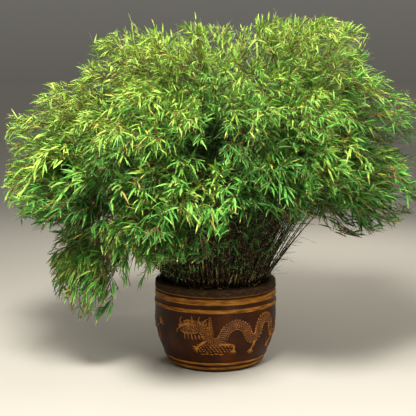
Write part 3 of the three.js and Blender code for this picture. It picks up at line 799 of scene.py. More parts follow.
# %% [markdown]
# ## Limbs
# Every limb, from a culm as thick as a finger to a twig as thick as a match, is a ring of points carried
# along a curve and closed at both ends. A curve object with a bevel would do the same, but it would have
# to be made a mesh limb by limb. Here all limbs of one kind are worked out together: the array has one
# row for each limb, one column for each ring and one layer for each corner of the ring.

# %% Limb maker
def limbs(lines, radii, sides):
    """Closed tubes round lines of points in mm. Each ring lies square to the line, and its first corner
    is turned from a direction that is kept the same along the limb, so that the tube doesn't twist. The UV
    runs once round the tube in u, and in metres along it in v."""
    count, rings = lines.shape[:2]
    tangent = unit(np.gradient(lines, axis=1))
    chord = unit(lines[:, -1] - lines[:, 0])
    least = np.eye(3)[np.argmin(np.abs(chord), axis=1)]
    aside = unit(least[:, None] - tangent * (tangent * least[:, None]).sum(-1, keepdims=True))
    across = np.cross(tangent, aside)
    turn = np.linspace(0, 2 * np.pi, sides, endpoint=False)
    ring = aside[:, :, None] * np.cos(turn)[:, None] + across[:, :, None] * np.sin(turn)[:, None]
    points = lines[:, :, None] + ring * radii[:, :, None, None]
    steps = np.linalg.norm(np.diff(lines, axis=1), axis=2)
    length = np.concatenate([np.zeros((count, 1)), np.cumsum(steps, axis=1)], 1)
    uv = np.stack(np.broadcast_arrays(turn / (2 * np.pi), length[..., None] * MM), -1).reshape(-1, 2)
    base = (np.arange(count) * rings * sides)[:, None, None]
    walls = (base + grid_faces(rings, sides)).reshape(-1, 4)
    foot = base[:, 0] + np.arange(sides)[::-1]
    tip = base[:, 0] + (rings - 1) * sides + np.arange(sides)
    return points.reshape(-1, 3) * MM, [walls, foot, tip], uv


def turn_about(vectors, axis, angle):
    """Vectors turned about unit axes by angles: the part along the axis stays, the rest counts by the
    cosine, and what is square to both by the sine."""
    angle = np.asarray(angle)[..., None]
    along = axis * (vectors * axis).sum(-1, keepdims=True)
    return along + (vectors - along) * np.cos(angle) + np.cross(axis, vectors) * np.sin(angle)


# %% [markdown]
# ## Main culms and boughs
# A culm is a hollow jointed cane. Each mass hangs on the culm that the frame gives it, and on finer ones
# that rise beside it and arch over as it does. They could all be copies of a few, but then the clump would
# show a pattern. Each mass has boughs that reach evenly over its skin: their directions step down its axis
# while they turn by the golden angle. All boughs but the first have a thin culm of their own.

# %% Culms and boughs
random = np.random.default_rng(20)
BOUGHS = 12
SINK = 2

side_turn = np.radians(between(-14, 14, draw(mass_key, 2)))
foot_way = turn_about(outward, np.broadcast_to(UP, outward.shape), side_turn)
main_foot = foot_way * of_tier("foot")[:, None] + UP * (SOIL_HEIGHT + CROWN_OF_ROOTS_HEIGHT + 2 * GAP)
main_tangent = curve_at(stems, np.zeros(len(stems)))[1]
main_tip = stems[:, 0] - main_tangent * GAP


def culm_knots(foot, tip, tangent):
    """The four knots of a culm: its foot, a bend 0.36 of the way out and 0.62 of the way up, a knot 0.22 of
    the span back from the tip along the tangent, and its tip."""
    bend = foot + (tip - foot) * 0.36
    bend[:, 2] = foot[:, 2] + 0.62 * (tip[:, 2] - foot[:, 2])
    last = tip - tangent * 0.22 * np.linalg.norm(tip - foot, axis=1, keepdims=True)
    return np.stack([foot, bend, last, tip], 1)


bough_index = np.tile(np.arange(BOUGHS), len(every_mass))
bough_mass = np.repeat(every_mass, BOUGHS)
has_it = bough_index < of_tier("boughs")[bough_mass]
bough_index = bough_index[has_it]
bough_mass = bough_mass[has_it]
down_axis = between(0.92, -0.5, (bough_index - 0.5) / (BOUGHS - 1))
swing = GOLDEN * bough_index + 6.28 * draw(bough_mass, 77)
axis = mass_axis[bough_mass]
aside = unit(np.cross(axis, UP))
raised_side = np.cross(aside, axis)
off_axis = np.sqrt(1 - np.clip(down_axis, -1, 1) ** 2)[:, None]
swung = aside * np.cos(swing)[:, None] + raised_side * np.sin(swing)[:, None]
reach = axis * down_axis[:, None] + swung * off_axis
room = room_along(bough_mass, mass_centre[bough_mass], reach, 0.97, spare=-25)[:, None]
bough_end = mass_centre[bough_mass] + reach * room * random.uniform(0.74, 1.0, (len(bough_mass), 1))
bough_start = entry[bough_mass] + random.normal(0, 38, (len(bough_mass), 3))
bough_over = (bough_start + bough_end) / 2 + UP * (ARCH * mass_size[bough_mass, 2:]) + axis * 30
boughs = np.stack([bough_start, bough_over, bough_end], 1)
boughs[bough_index == 0] = stems
thin = bough_index > 0
thin_count = thin.sum()
thin_tangent = curve_at(boughs[thin], np.zeros(thin_count))[1]
thin_foot = main_foot[bough_mass[thin]] + random.normal(0, 34, (thin_count, 3)) * [1, 1, 0]
too_far = np.maximum(1, np.linalg.norm(thin_foot[:, :2], axis=1) / (CROWN_OF_ROOTS_RADIUS - 8))
thin_foot[:, :2] /= too_far[:, None]
thin_foot[:, 2] = SOIL_HEIGHT - SINK
print("culms:", len(stems), "main ones and", thin_count, "thin ones")

# %% [markdown]
# ## The brush of bare canes
# Between the culms stands a close brush of bare canes, fine and dark, which hides the middle of the clump.
# They could be scattered at random, but would clot. They stand by the golden angle instead, at even density,
# and lean out more the nearer they are to the edge. Every fourth one is an inner cane, tall and steep, which
# fills the heart of the crown. Along a main culm every third ring is a node, where the tube swells, and
# along thin culms and canes every second.

# %% Bare canes
CANES = 680
CANE_SPREAD = 284
CANE_HEIGHT = (380, 860)
INNER_HEIGHT = (860, 1330)

cane = np.arange(CANES)
cane_share = (cane + 0.5) / CANES
cane_angle = GOLDEN * cane
cane_way = np.stack([np.cos(cane_angle), np.sin(cane_angle), 0 * cane_angle], -1)
cane_foot = cane_way * (CANE_SPREAD * np.sqrt(cane_share))[:, None] + UP * (SOIL_HEIGHT - SINK)
is_inner = cane % 4 == 0
inner_height = between(*INNER_HEIGHT, draw(cane, 9)) * between(1.0, 0.72, cane_share)
cane_height = np.where(is_inner, inner_height, between(*CANE_HEIGHT, draw(cane, 9) ** 1.3))[:, None]
cane_slope = between(0.04, np.where(is_inner, 0.42, 0.80), cane_share) * between(0.66, 1.10, draw(cane, 10))
cane_lean = cane_slope[:, None] * cane_height
cane_tip = cane_foot + cane_way * cane_lean + UP * cane_height + random.normal(0, 36, (CANES, 3))
cane_bend = cane_foot + (cane_tip - cane_foot) * 0.42 + UP * cane_height * 0.14
cane_bend = cane_bend + random.normal(0, 12, (CANES, 3))
canes = np.stack([cane_foot, cane_bend, cane_tip], 1)


def noded(knots, rings, foot_radius, tip_radius, every):
    """Lines and radii of jointed canes: the radius tapers, and swells by 0.28 of itself at each node,
    which is at every so many rings."""
    share = np.linspace(0, 1, rings)
    swelling = 1 + 0.28 * (np.arange(rings) % every == every - 1)
    radii = between(foot_radius[:, None], tip_radius[:, None], share) * swelling
    return curve_points(knots, rings), radii


main_knots = culm_knots(main_foot, main_tip, main_tangent)
thin_knots = culm_knots(thin_foot, boughs[thin][:, 0], thin_tangent)
main_radii = [np.full(len(stems), radius) for radius in (5.8, 3.4)]
mains = limbs(*noded(main_knots, 43, *main_radii, 3), 8)
slims = limbs(*noded(thin_knots, 25, random.uniform(3.0, 4.8, thin_count), np.full(thin_count, 2.0), 2), 6)
bare = limbs(*noded(canes, 13, random.uniform(1.9, 3.6, CANES), np.full(CANES, 0.9), 2), 4)
print("canes:", CANES, "of them", is_inner.sum(), "inner ones")

# %% [markdown]
# ## The cane's finish
# Bamboo cane has a hard, faintly waxy skin with a fine grain, so it is rather rough with a little gloss.
# The grain is drawn at 2.5 mm, as coarse as it needs to be to show. The colour wanders between olive and
# straw over about 60 mm, darkens in a ring just under each node and is pale just above it.
# The rings could be a wave texture, but that would run through all canes in one direction. They need to
# follow each cane, so they read its own UV, whose second number is the distance along it.

# %% Cane
def cane_material(name, colours, node_gap):
    """Bamboo cane in a run of colours, with a dark and a pale ring at each node, node_gap metres apart."""
    material, tree, shader = new_material(name)
    where = add_node(tree, "ShaderNodeTexCoord")
    slow = add_node(tree, "ShaderNodeTexNoise",
                    {"Vector": where.outputs["Object"], "Scale": per_metre(62.5), "Detail": 3.0})
    skin = add_node(tree, "ShaderNodeValToRGB", {"Fac": slow.outputs["Fac"]}, colours).outputs[0]
    along = add_node(tree, "ShaderNodeSeparateXYZ", {0: where.outputs["UV"]}).outputs["Y"]
    joints = add_node(tree, "ShaderNodeMath", {0: along, 1: node_gap}, operation="DIVIDE").outputs[0]
    phase = add_node(tree, "ShaderNodeMath", {0: joints}, operation="FRACT").outputs[0]
    dark = add_node(tree, "ShaderNodeMapRange", {"Value": phase, "From Min": 0.80, "From Max": 0.93})
    shaded = add_node(tree, "ShaderNodeMix", {0: dark.outputs[0], 6: skin, 7: linear("#2b2412")},
                      data_type="RGBA")
    pale = add_node(tree, "ShaderNodeMapRange", {"Value": phase, "From Min": 0.10, "From Max": 0.02})
    waxed = add_node(tree, "ShaderNodeMix",
                     {0: pale.outputs[0], 6: shaded.outputs[2], 7: linear("#8f8558")}, data_type="RGBA")
    tree.links.new(waxed.outputs[2], shader.inputs["Base Color"])
    shader.inputs["Roughness"].default_value = 0.6
    shader.inputs["Specular IOR Level"].default_value = 0.2
    fine = add_node(tree, "ShaderNodeTexNoise", {"Vector": where.outputs["Object"], "Scale": per_metre(2.5)})
    bump = add_node(tree, "ShaderNodeBump",
                    {"Height": fine.outputs["Fac"], "Strength": 0.25, "Distance": 0.0005})
    tree.links.new(bump.outputs[0], shader.inputs["Normal"])
    return material


# Both runs of colour are darker than the cane's own olive and brown, as painted shade, for the culms and the
# brush of canes stand in the crown's shadow.
olive = cane_material("bamboo_cane_olive_shaded", [(0.3, "#151508"), (0.72, "#403b18"), (0.5, "#26240f")], 0.085)
dry = cane_material("bamboo_cane_dry_shaded", [(0.3, "#100c05"), (0.72, "#3f2d16"), (0.5, "#20180a")], 0.07)
culm_nodes = [n for n in frame["nodes"] if n.startswith("culm_")]
add_piece("culms_jointed", *joined([mains, slims]), olive, "bamboo_cane", culm_nodes)
add_piece("canes_bare", *bare, dry, "bamboo_cane", ["cane_clump"])

# %% [markdown]
# ## Branching
# The culms' branches divide twice more before they bear leaves. A particle or node system could scatter
# twigs, but at each division the rule here is the same one that the frame uses: leave the parent in turn
# round it by the golden angle, open away from it, and bend down under the weight. A twig that would leave
# its mass's space is cut short by the room that it has.

# %% Branching rule
NEVER_ZERO = 1e-6


def branches(parents, per_parent, places, opening, length, droop, seed, mass=None, comb=0.0):
    """Curves that leave each parent at even places. opening is a pair in degrees, length one in mm and
    droop the share of its length that a tip hangs. mass is each parent's mass, whose space the curves keep
    to, and comb says how strongly they turn to the way that their mass flows. Returns the curves, and
    which parent each one has."""
    random = np.random.default_rng(seed)
    which = np.repeat(np.arange(len(parents)), per_parent)
    index = np.tile(np.arange(per_parent), len(parents))
    place = between(*places, (index + random.uniform(-0.35, 0.35, len(index))) / max(per_parent - 1, 1))
    start, tangent = curve_at(parents[which], np.clip(place, 0, 1))
    side = unit(np.cross(tangent, UP) + NEVER_ZERO)
    side = turn_about(side, tangent, GOLDEN * index + random.uniform(0, 6.28, len(parents))[which])
    angle = np.radians(random.uniform(*opening, len(index)))[:, None]
    direction = tangent * np.cos(angle) + unit(side) * np.sin(angle)
    if mass is not None:
        direction = direction + comb * mass_flow[mass[which]]
    direction = unit(direction)
    reach = random.uniform(*length, len(index))
    if mass is not None:
        room = room_along(mass[which], start, direction, 1.0, spare=-30, step=14)
        reach = np.minimum(reach, np.maximum(room, 0.35 * length[0]))
    reach = reach[:, None]
    sag = UP * (np.broadcast_to(droop, len(parents))[which, None] * reach)
    return np.stack([start, start + direction * reach * 0.55, start + direction * reach - sag], 1), which


# %% [markdown]
# ## Twigs, sprigs and shoots
# Boughs bear twigs, and twigs bear sprigs, which are straight because they are so short. New shoots stand
# up out of the top, and bare twiglets make the brush of canes close. A limb that would rise past the frame's
# top is left out, give or take a few millimetres for each kind.

# %% Twigs
SHOOTS_FROM = 1700
crown_top = cad_box[1][2] / MM

mass_droop = of_tier("hang").mean(1)
twigs, twig_bough = branches(boughs, 10, (0.2, 1.0), (18, 60), (120, 240),
                             0.1 + 0.3 * mass_droop[bough_mass], 31, mass=bough_mass, comb=0.5)
twig_mass = bough_mass[twig_bough]
sprigs, sprig_twig = branches(twigs, 8, (0.12, 1.0), (12, 50), (28, 95),
                              0.1 + 0.2 * mass_droop[twig_mass], 32, mass=twig_mass, comb=0.3)
bears = draw(np.arange(len(sprigs)), 5) < of_tier("full")[twig_mass[sprig_twig]]
bears &= sprigs[:, 2, 2] < crown_top + 10
sprigs = sprigs[bears]
sprigs[:, 1] = (sprigs[:, 0] + sprigs[:, 2]) / 2
sprig_twig = sprig_twig[bears]
sprig_mass = twig_mass[sprig_twig]
high_ends = twigs[(twigs[:, 2, 2] > SHOOTS_FROM) & (tier_index[twig_mass] == 0)]
shoots, _ = branches(high_ends[::3], 1, (0.7, 1.0), (5, 34), (55, 120), -0.75, 33)
shoots = shoots[shoots[:, 2, 2] < crown_top + 8]
twiglets, _ = branches(canes[~is_inner], 13, (0.10, 1.0), (16, 76), (40, 150), 0.05, 34)
inner_twigs, _ = branches(canes[is_inner], 12, (0.42, 1.0), (24, 62), (90, 230), 0.06, 35)
inner_twigs = inner_twigs[inner_twigs[:, 2, 2] < crown_top - 20]


def limb_set(knots, rings, foot_radius, tip_radius, sides):
    """Tapering limbs along three-knot curves."""
    radii = np.broadcast_to(between(foot_radius, tip_radius, np.linspace(0, 1, rings)), (len(knots), rings))
    return limbs(curve_points(knots, rings), radii, sides)


bough_set = limb_set(boughs, 12, 2.6, 1.6, 5)
twig_set = limb_set(twigs, 5, 2.6, 1.6, 3)
sprig_set = joined([limb_set(sprigs, 2, 1.3, 0.8, 3), limb_set(shoots, 7, 1.5, 0.7, 4)])
twiglet_set = limb_set(np.concatenate([twiglets, inner_twigs]), 3, 0.9, 0.5, 3)
print("twigs:", len(twigs), "sprigs:", len(sprigs), "shoots:", len(shoots), "twiglets:", len(twiglets))

# %% [markdown]
# ## The leaf
# A bamboo leaf is a lance blade on a short stalk: widest a third of the way along, drawn out to a fine
# tip, folded a little along its midrib and bent down by its own weight. It could be a flat picture with
# transparency, but a mesh keeps a clean edge and catches the light on both halves. Eleven points and twelve
# triangles give all of that.

# %% Leaf maker
STATIONS = np.array([0.10, 0.36, 0.70])
HALF_WIDTHS = np.array([0.62, 1.0, 0.60])
BLADE_T = np.concatenate([[0], np.repeat(STATIONS, 3), [1]])
BLADE_SIDE = np.concatenate([[0], (HALF_WIDTHS[:, None] * [-1, 0, 1]).ravel(), [0]])
BLADE_FACES = np.array([[0, 2, 1], [0, 3, 2], [1, 2, 5], [1, 5, 4], [2, 3, 6], [2, 6, 5],
                        [4, 5, 8], [4, 8, 7], [5, 6, 9], [5, 9, 8], [7, 8, 10], [8, 9, 10]])


def blades(root, along, across, length, width, droop, fold):
    """Leaves as whole arrays, in metres. A point at the share t of the length lies t lengths along, its
    side share of half a width across, lifted by the fold at its edges, and hangs by droop times t squared."""
    through = np.cross(along, across)
    flip = np.where(through[:, 2:] < 0, -1.0, 1.0)
    across = across * flip
    through = through * flip
    t = BLADE_T[None, :, None]
    side = BLADE_SIDE[None, :, None]
    length = length[:, None, None]
    width = width[:, None, None]
    points = root[:, None] + along[:, None] * length * t + across[:, None] * side * width / 2
    points = points + through[:, None] * np.abs(side) * width * fold[:, None, None]
    points = points - UP * (droop[:, None, None] * length * t ** 2)
    return points * MM


def blade_mesh(points):
    """The points of many leaves, their faces and a UV with u across the blade and v along it."""
    count = len(points)
    faces = (np.arange(count)[:, None, None] * len(BLADE_T) + BLADE_FACES).reshape(-1, 3)
    uv = np.tile(np.stack([0.5 + BLADE_SIDE / 2, BLADE_T], -1), (count, 1))
    return points.reshape(-1, 3), [faces], uv


print("leaf:", len(BLADE_T), "points and", len(BLADE_FACES), "triangles")

# %% [markdown]
# ## Sprays of leaves
# A sprig carries its leaves in two ranks, like the fingers of a hand, with one at its tip. Leaves could be
# scattered over the crown at random, and it would look like felt. It is the ranks and the common way that
# they hang which make it look like bamboo.

# %% Sprays
def sprays(parents, per_parent, places, flow, hang, length, slim, seed):
    """Leaves in two ranks along each parent, the last one at its tip. flow is a vector for each parent
    that combs its leaves, hang is how steeply a leaf points down, length its length in mm and slim its
    width over its length, each of these as the least and the most for every parent. Returns the leaves,
    and which parent each one has."""
    random = np.random.default_rng(seed)
    which = np.repeat(np.arange(len(parents)), per_parent)
    index = np.tile(np.arange(per_parent), len(parents))
    count = len(which)
    root, tangent = curve_at(parents[which], between(*places, index / (per_parent - 1)))
    side = unit(np.cross(tangent, UP) + NEVER_ZERO)
    side = turn_about(side, tangent, random.normal(0, 0.7, len(parents))[which])
    hand = np.where(index % 2 == 0, 1, -1)
    at_tip = index == per_parent - 1
    turn = hand * np.where(at_tip, random.uniform(-8, 8, count), random.uniform(14, 60, count))
    turn = np.radians(turn)[:, None]
    along = unit(tangent * np.cos(turn) + side * np.sin(turn) + flow[which])
    along = unit(along - UP * between(hang[which, 0], hang[which, 1], random.uniform(0, 1, count))[:, None])
    across = turn_about(unit(np.cross(UP, along)), along, np.radians(random.normal(0, 26, count)))
    blade = between(length[which, 0], length[which, 1], random.uniform(0, 1, count))
    width = blade * between(slim[which, 0], slim[which, 1], random.uniform(0, 1, count))
    sag = random.uniform(0.08, 0.36, count)
    return blades(root, along, across, blade, width, sag, random.uniform(0.05, 0.16, count)), which


def loose_sprays(parents, per_parent, places, hang, length, slim, seed):
    """Sprays that flow no way of their own, with the same pairs of values for every parent. Only the
    leaves are returned."""
    pairs = [np.broadcast_to(pair, (len(parents), 2)) for pair in (hang, length, slim)]
    return sprays(parents, per_parent, places, np.zeros((len(parents), 3)), *pairs, seed)[0]


BRUSH_LEAVES_FROM = 560
HEART_TOP = 1380

leaf_points, leaf_sprig = sprays(sprigs, 5, (0.35, 1.0), 0.25 * mass_flow[sprig_mass],
                                 of_tier("hang")[sprig_mass], of_tier("leaf")[sprig_mass],
                                 of_tier("slim")[sprig_mass], 51)
shoot_points = loose_sprays(shoots, 6, (0.05, 1.0), (-0.9, 0.0), (50, 84), (0.12, 0.15), 52)
leafy = twiglets[(np.arange(len(twiglets)) % 5 == 0) & (twiglets[:, 2, 2] > BRUSH_LEAVES_FROM)]
brush_points = loose_sprays(leafy, 4, (0.4, 1.0), (-0.5, 0.3), (38, 66), (0.11, 0.14), 53)
heart_length = np.where(inner_twigs[:, :1, 2] > HEART_TOP, [42, 76], [60, 98])
heart_points = loose_sprays(inner_twigs, 5, (0.25, 1.0), (-0.4, 0.4), heart_length, (0.11, 0.14), 54)

# %% [markdown]
# ## Which leaves stay
# A leaf that sticks out of the crown's outline, reaches into the pot or lies under its rim is left out, as
# the frame's rule leaves out its own. Cutting at the outline would leave half leaves. How deep a leaf's tip
# lies in the nearest ellipsoid says whether the whole leaf goes or stays.

# %% Which leaves stay
BOX_SPARE = 0.03
OUTERMOST = 1.08
POT_CLEAR_RADIUS = 380
POT_CLEAR_HEIGHT = 520

box_side = np.array(cad_box[1]) - np.array(cad_box[0])
box_low = np.array(cad_box[0]) - BOX_SPARE * box_side
box_high = np.array(cad_box[1]) + BOX_SPARE * box_side


def in_box(points):
    """Whether all points of each leaf lie in the frame's box, grown by 3 % of its sides."""
    return ((points > box_low) & (points < box_high)).all((1, 2))


tips = leaf_points[:, -1] / MM
nearest = np.min(np.linalg.norm((tips[:, None] - mass_centre) / mass_size, axis=-1), axis=1)
from_pot = np.hypot(tips[:, 0], tips[:, 1])
clears_pot = (from_pot > POT_CLEAR_RADIUS) | (tips[:, 2] > POT_CLEAR_HEIGHT)
stays = (nearest < OUTERMOST) & clears_pot & in_box(leaf_points)
print("leaves:", int(stays.sum()), "of", len(leaf_points))

# %% [markdown]
# ## Green by spray
# The real crown runs from sunlit yellow-green at its upper left to deep green under its skirts, with a few
# straw-coloured and ochre leaves everywhere. That light and shade is painted into the leaves: the first five
# tints are lit and shaded copies of one leaf green. One colour ramp over the whole crown would be too smooth,
# for a real spray is all of one age. So the tints are dealt out twig by twig, by how high, how far out and
# how far to the light each one is, and some chance. The low left lies in the crown's own shade, and gets
# greener tints as painted shade.

# %% Tints
# The first five tints are painted light and shade: lit and shaded copies of one leaf green, from sunlit down
# to shade. The straw and ochre tints are the leaves' own colours.
TINTS = [("sunlit", "#5c922a", "#b2d35f"), ("half_lit", "#40832c", "#83bb54"),
         ("green", "#33782a", "#569f3e"), ("deep", "#1f5723", "#397d30"), ("shade", "#123c18", "#245c24"),
         ("straw", "#94983a", "#cfc75c"), ("ochre", "#75622b", "#a88e49")]
TINT_CUTS = (0.14, 0.30, 0.52, 0.78)
CROWN_MIDDLE = [0, 0, 1100]
CROWN_REACH = [1150, 2500, 800]
TO_LIGHT = np.array([-0.46, -0.12, 0.88])
SHADED_SIDE = 700
SHADED_BELOW = 1440
SHADE_EDGE = 300
# How much each of them counts, and how far chance moves a whole twig and a single leaf
OUT_WEIGHT = 0.7
LIGHT_WEIGHT = 0.9
UP_WEIGHT = 0.35
SHADE_WEIGHT = 0.60
TWIG_CHANCE = 0.14
LEAF_CHANCE = 0.10

random = np.random.default_rng(61)
twig_middle = twigs[:, 1]
# Painted light and shade: a twig ranks lighter the further out in the crown, the further towards the light
# and the higher in its mass it is.
out_of_crown = np.linalg.norm((twig_middle - CROWN_MIDDLE) / CROWN_REACH, axis=1)
to_light = (twig_middle @ unit(TO_LIGHT)) / 1000
up_in_mass = (twig_middle[:, 2] - mass_centre[twig_mass, 2]) / mass_size[twig_mass, 2]
score = OUT_WEIGHT * out_of_crown + LIGHT_WEIGHT * to_light + UP_WEIGHT * up_in_mass
score = score + random.normal(0, TWIG_CHANCE, len(twigs))
# Painted shade darkens the low left, and each tier's light value adds painted light.
to_left = soft_step(-twig_middle[:, 0] / SHADED_SIDE)
low_left = to_left * soft_step((SHADED_BELOW - twig_middle[:, 2]) / SHADE_EDGE)
score += of_tier("light")[twig_mass] - SHADE_WEIGHT * low_left
rank = np.argsort(np.argsort(score)) / len(score)
leaf_rank = rank[sprig_twig[leaf_sprig]] + random.normal(0, LEAF_CHANCE, len(leaf_sprig))
odd = random.uniform(0, 1, len(leaf_sprig))
is_ochre = odd < 0.010
# Straw leaves are the plant's own colour, 3 % of all; the 5 % more among the better lit leaves are painted
# highlights.
is_straw_and_glint = odd < 0.03 + 0.05 * (leaf_rank > 0.6)
# The numbers that are chosen between are places in the table of tints
below = [leaf_rank < cut for cut in TINT_CUTS]
tint = np.select([is_ochre, is_straw_and_glint, *below], [6, 5, 4, 3, 2, 1], 0)
print("tints:", dict(zip([name for name, _, _ in TINTS], np.bincount(tint[stays]).tolist())))

# %% [markdown]
# ## The leaf's finish
# A bamboo leaf is thin and satin, with a pale midrib and here and there a dry tip. They could be painted on
# a picture of a leaf, but then all leaves would have the same. The rib and the tip follow the blade, so both
# read its UV. The green changes over about 40 mm, so that neighbours differ, and a tip is dry where a noise
# of about 20 mm runs high near it. The rib is drawn wider than the real one, which wouldn't show.

# %% Leaf finish
def leaf_material(name, dark, light):
    """Bamboo leaf: a run of colour, with a pale midrib and a dry tip laid out by its UV."""
    material, tree, shader = new_material(name)
    coordinates = add_node(tree, "ShaderNodeTexCoord")
    where = coordinates.outputs["Object"]
    place = add_node(tree, "ShaderNodeSeparateXYZ", {0: coordinates.outputs["UV"]})
    across = place.outputs["X"]
    along = place.outputs["Y"]
    cloud = add_node(tree, "ShaderNodeTexNoise",
                     {"Vector": where, "Scale": per_metre(38.5), "Detail": 2.0}).outputs["Fac"]
    skin = add_node(tree, "ShaderNodeValToRGB", {"Fac": cloud}, [(0.32, dark), (0.68, light)]).outputs[0]
    off_rib = add_node(tree, "ShaderNodeMath", {0: across, 1: 0.5}, operation="SUBTRACT").outputs[0]
    off_rib = add_node(tree, "ShaderNodeMath", {0: off_rib}, operation="ABSOLUTE").outputs[0]
    rib = add_node(tree, "ShaderNodeMapRange",
                   {"Value": off_rib, "From Min": 0.09, "From Max": 0.02, "To Max": 0.35}).outputs[0]
    ribbed = add_node(tree, "ShaderNodeMix", {0: rib, 6: skin, 7: linear("#b9cc7a")}, data_type="RGBA")
    blotch = add_node(tree, "ShaderNodeTexNoise", {"Vector": where, "Scale": per_metre(22.7)}).outputs["Fac"]
    past = add_node(tree, "ShaderNodeMath", {0: along, 1: blotch}, operation="MULTIPLY").outputs[0]
    is_dry = add_node(tree, "ShaderNodeMapRange", {"Value": past, "From Min": 0.47, "From Max": 0.56})
    tipped = add_node(tree, "ShaderNodeMix",
                      {0: is_dry.outputs[0], 6: ribbed.outputs[2], 7: linear("#d3c163")}, data_type="RGBA")
    tree.links.new(tipped.outputs[2], shader.inputs["Base Color"])
    shader.inputs["Roughness"].default_value = 0.5
    shader.inputs["Specular IOR Level"].default_value = 0.15
    return material


leaf_skins = {name: leaf_material(f"bamboo_leaf_{name}", dark, light) for name, dark, light in TINTS}
print("leaf materials:", len(leaf_skins))

# %% [markdown]
# ## The pieces of the crown
# One piece for each mass would be easier to follow, but a piece has one tint. So each tint is a piece of its
# own, or two where it has too many leaves for one, and the first of them takes the place of all the frame's
# masses. The leaves on the brush and low in the heart of the crown are in shade, so they get the deeper
# greens as painted shade, and those at the heart's top the half-lit one as painted light. The twigs have the
# cane's finish, in brown.

# %% Pieces of the crown
MOST_LEAVES = 16000
replaced = [n for n in frame["nodes"] if n.startswith("leaves_")]
for number, (name, _, _) in enumerate(TINTS):
    chosen = np.flatnonzero(stays & (tint == number))
    for part, few in enumerate(np.array_split(chosen, math.ceil(len(chosen) / MOST_LEAVES))):
        add_piece(f"leaves_{name}_{part + 1}", *blade_mesh(leaf_points[few]), leaf_skins[name],
                  "bamboo_leaf", replaced)
        replaced = []
heart_stays = in_box(heart_points)
is_high = heart_points[:, 0, 2] > HEART_TOP * MM
# Painted light and shade: the shoots get the sunlit tint, the brush the deep one, the heart's top the
# half-lit one and the low heart the shade one.
for name, few, tint_name in [("shoots", shoot_points[in_box(shoot_points)], "sunlit"),
                             ("brush", brush_points, "deep"),
                             ("heart_top", heart_points[heart_stays & is_high], "half_lit"),
                             ("heart", heart_points[heart_stays & ~is_high], "shade")]:
    add_piece(f"leaves_of_{name}", *blade_mesh(few), leaf_skins[tint_name], "bamboo_leaf")

brown = cane_material("bamboo_twig", [(0.3, "#543f24"), (0.72, "#987650"), (0.5, "#765a38")], 0.04)
add_piece("boughs_and_twigs", *joined([bough_set, twig_set]), brown, "bamboo_cane")
add_piece("sprigs_fine", *sprig_set, brown, "bamboo_cane")
add_piece("twigs_of_brush", *twiglet_set, dry, "bamboo_cane")

# %% [markdown]
# ## Litter
# Bamboo sheds papery sheaths and old leaves, and in a pot they stay where they fall. They could be dropped
# with a rigid body simulation. The same leaf maker is quicker: they are wider and paler leaves, and lie at
# every angle on the soil between the canes. Sheaths that are still on the canes stand up beside them.

# %% Litter
LITTER = 420
INSIDE_RIM = MOUTH_RADIUS - 4
OVER_RIM = POT_HEIGHT + 6

random = np.random.default_rng(71)
litter_angle = random.uniform(0, 2 * np.pi, LITTER)
litter_ring = (MOUTH_RADIUS - 22) * np.sqrt(random.uniform(0.05, 1, LITTER))
heading = random.uniform(0, 2 * np.pi, LITTER)
root = np.stack([litter_ring * np.cos(litter_angle), litter_ring * np.sin(litter_angle),
                 np.full(LITTER, SOIL_HEIGHT + 8) + random.uniform(0, 14, LITTER)], -1)
along = unit(np.stack([np.cos(heading), np.sin(heading), random.uniform(-0.1, 0.35, LITTER)], -1))
across = turn_about(unit(np.cross(UP, along)), along, random.normal(0, 0.4, LITTER))
blade = random.uniform(35, 80, LITTER)
fallen = blades(root, along, across, blade, blade * random.uniform(0.14, 0.26, LITTER),
                random.uniform(-0.2, 0.15, LITTER), random.uniform(0.1, 0.4, LITTER))

sheathed = canes[::2]
root, tangent = curve_at(sheathed, random.uniform(0.02, 0.3, len(sheathed)))
along = unit(tangent + random.normal(0, 0.16, tangent.shape))
across = unit(np.cross(along, random.normal(size=along.shape)))
blade = random.uniform(45, 95, len(sheathed))
standing = blades(root, along, across, blade, blade * random.uniform(0.10, 0.18, len(blade)),
                  random.uniform(-0.05, 0.15, len(blade)), random.uniform(0.1, 0.3, len(blade)))

papers = np.concatenate([fallen, standing])
inside = np.linalg.norm(papers[:, :, :2], axis=-1) / MM < INSIDE_RIM
keeps = (inside | (papers[:, :, 2] / MM > OVER_RIM)).all(1)
# These colours are darker than a dry sheath's own, as painted shade, for the litter lies in the shadow of the
# clump.
papery = leaf_material("dry_sheath_in_shade", "#4a3b20", "#8c774a")
add_piece("litter_dry", *blade_mesh(papers[keeps]), papery, "bamboo_leaf")

# %% [markdown]
# ## The floor
# A plain pale floor keeps the eye on the plant. It could be curved up behind it, as a roll of studio paper
# is. A flat one that runs on far beyond the lens's reach is simpler, and looks the same from every side. It
# lies 1 mm under the pot's foot, so that the two faces don't flicker.

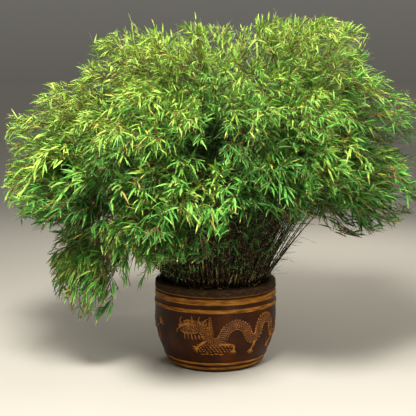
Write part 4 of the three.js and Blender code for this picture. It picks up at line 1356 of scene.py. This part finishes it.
# %% Floor
FLOOR_HALF = 300
floor_material, tree, shader = new_material("floor_plain")
shader.inputs["Base Color"].default_value = linear("#bbb8b1")
shader.inputs["Roughness"].default_value = 0.9
floor_mesh = bpy.data.meshes.new("floor")
floor_corners = [(x * FLOOR_HALF, y * FLOOR_HALF, -0.001) for x, y in [(-1, -1), (1, -1), (1, 1), (-1, 1)]]
floor_mesh.from_pydata(floor_corners, [], [(0, 1, 2, 3)])
floor_mesh.materials.append(floor_material)
floor = bpy.data.objects.new("floor", floor_mesh)
bpy.context.scene.collection.objects.link(floor)
print("floor:", 2 * FLOOR_HALF, "m square")

# %% [markdown]
# ## Sky and lamps
# The sky is plain and dim where it meets the floor, so that no line shows. One large soft lamp stands high
# and a little to the left, where the light on the real plant comes from. A sun lamp would be simpler, but
# its shadows are too hard for thin leaves. Weak lamps fill the shadows from the right, from low on the left
# and from behind, and so does the sky.

# %% Sky and lamps
world = bpy.data.worlds.new("sky")
bpy.context.scene.world = world
world.use_nodes = True
tree = world.node_tree
heading = add_node(tree, "ShaderNodeTexCoord").outputs["Generated"]
height = add_node(tree, "ShaderNodeSeparateXYZ", {0: heading}).outputs["Z"]
haze = add_node(tree, "ShaderNodeValToRGB", {"Fac": height}, [(0.0, "#aea99f"), (0.25, "#e8e5dc")])
tree.links.new(haze.outputs[0], tree.nodes["Background"].inputs["Color"])
tree.nodes["Background"].inputs["Strength"].default_value = 0.27


def add_lamp(name, place, aim, size, power, colour):
    """A square area lamp at a place, turned so that it faces its aim: places in metres, power in watts."""
    lamp_data = bpy.data.lights.new(name, "AREA")
    lamp_data.size = size
    lamp_data.energy = power
    lamp_data.color = linear(colour)[:3]
    lamp = bpy.data.objects.new(name, lamp_data)
    lamp.location = place
    lamp.rotation_euler = (Vector(aim) - Vector(place)).to_track_quat("-Z", "Y").to_euler()
    bpy.context.scene.collection.objects.link(lamp)
    print("lamp:", name, power, "W")


add_lamp("key", (-0.7, -3.6, 4.9), (0, 0, 1.0), 1.4, 640, "#fffaf0")
add_lamp("front_fill", (3.0, -4.3, 2.0), (0.3, 0, 1.2), 2.0, 115, "#fff6e8")
add_lamp("back_fill", (1.2, 4.6, 3.4), (0, 0, 1.1), 2.5, 110, "#fff6e8")
add_lamp("left_fill", (-3.2, -3.9, 1.0), (-0.8, 0, 0.7), 1.2, 16, "#fff6e8")
bpy.context.scene.view_settings.view_transform = "Standard"
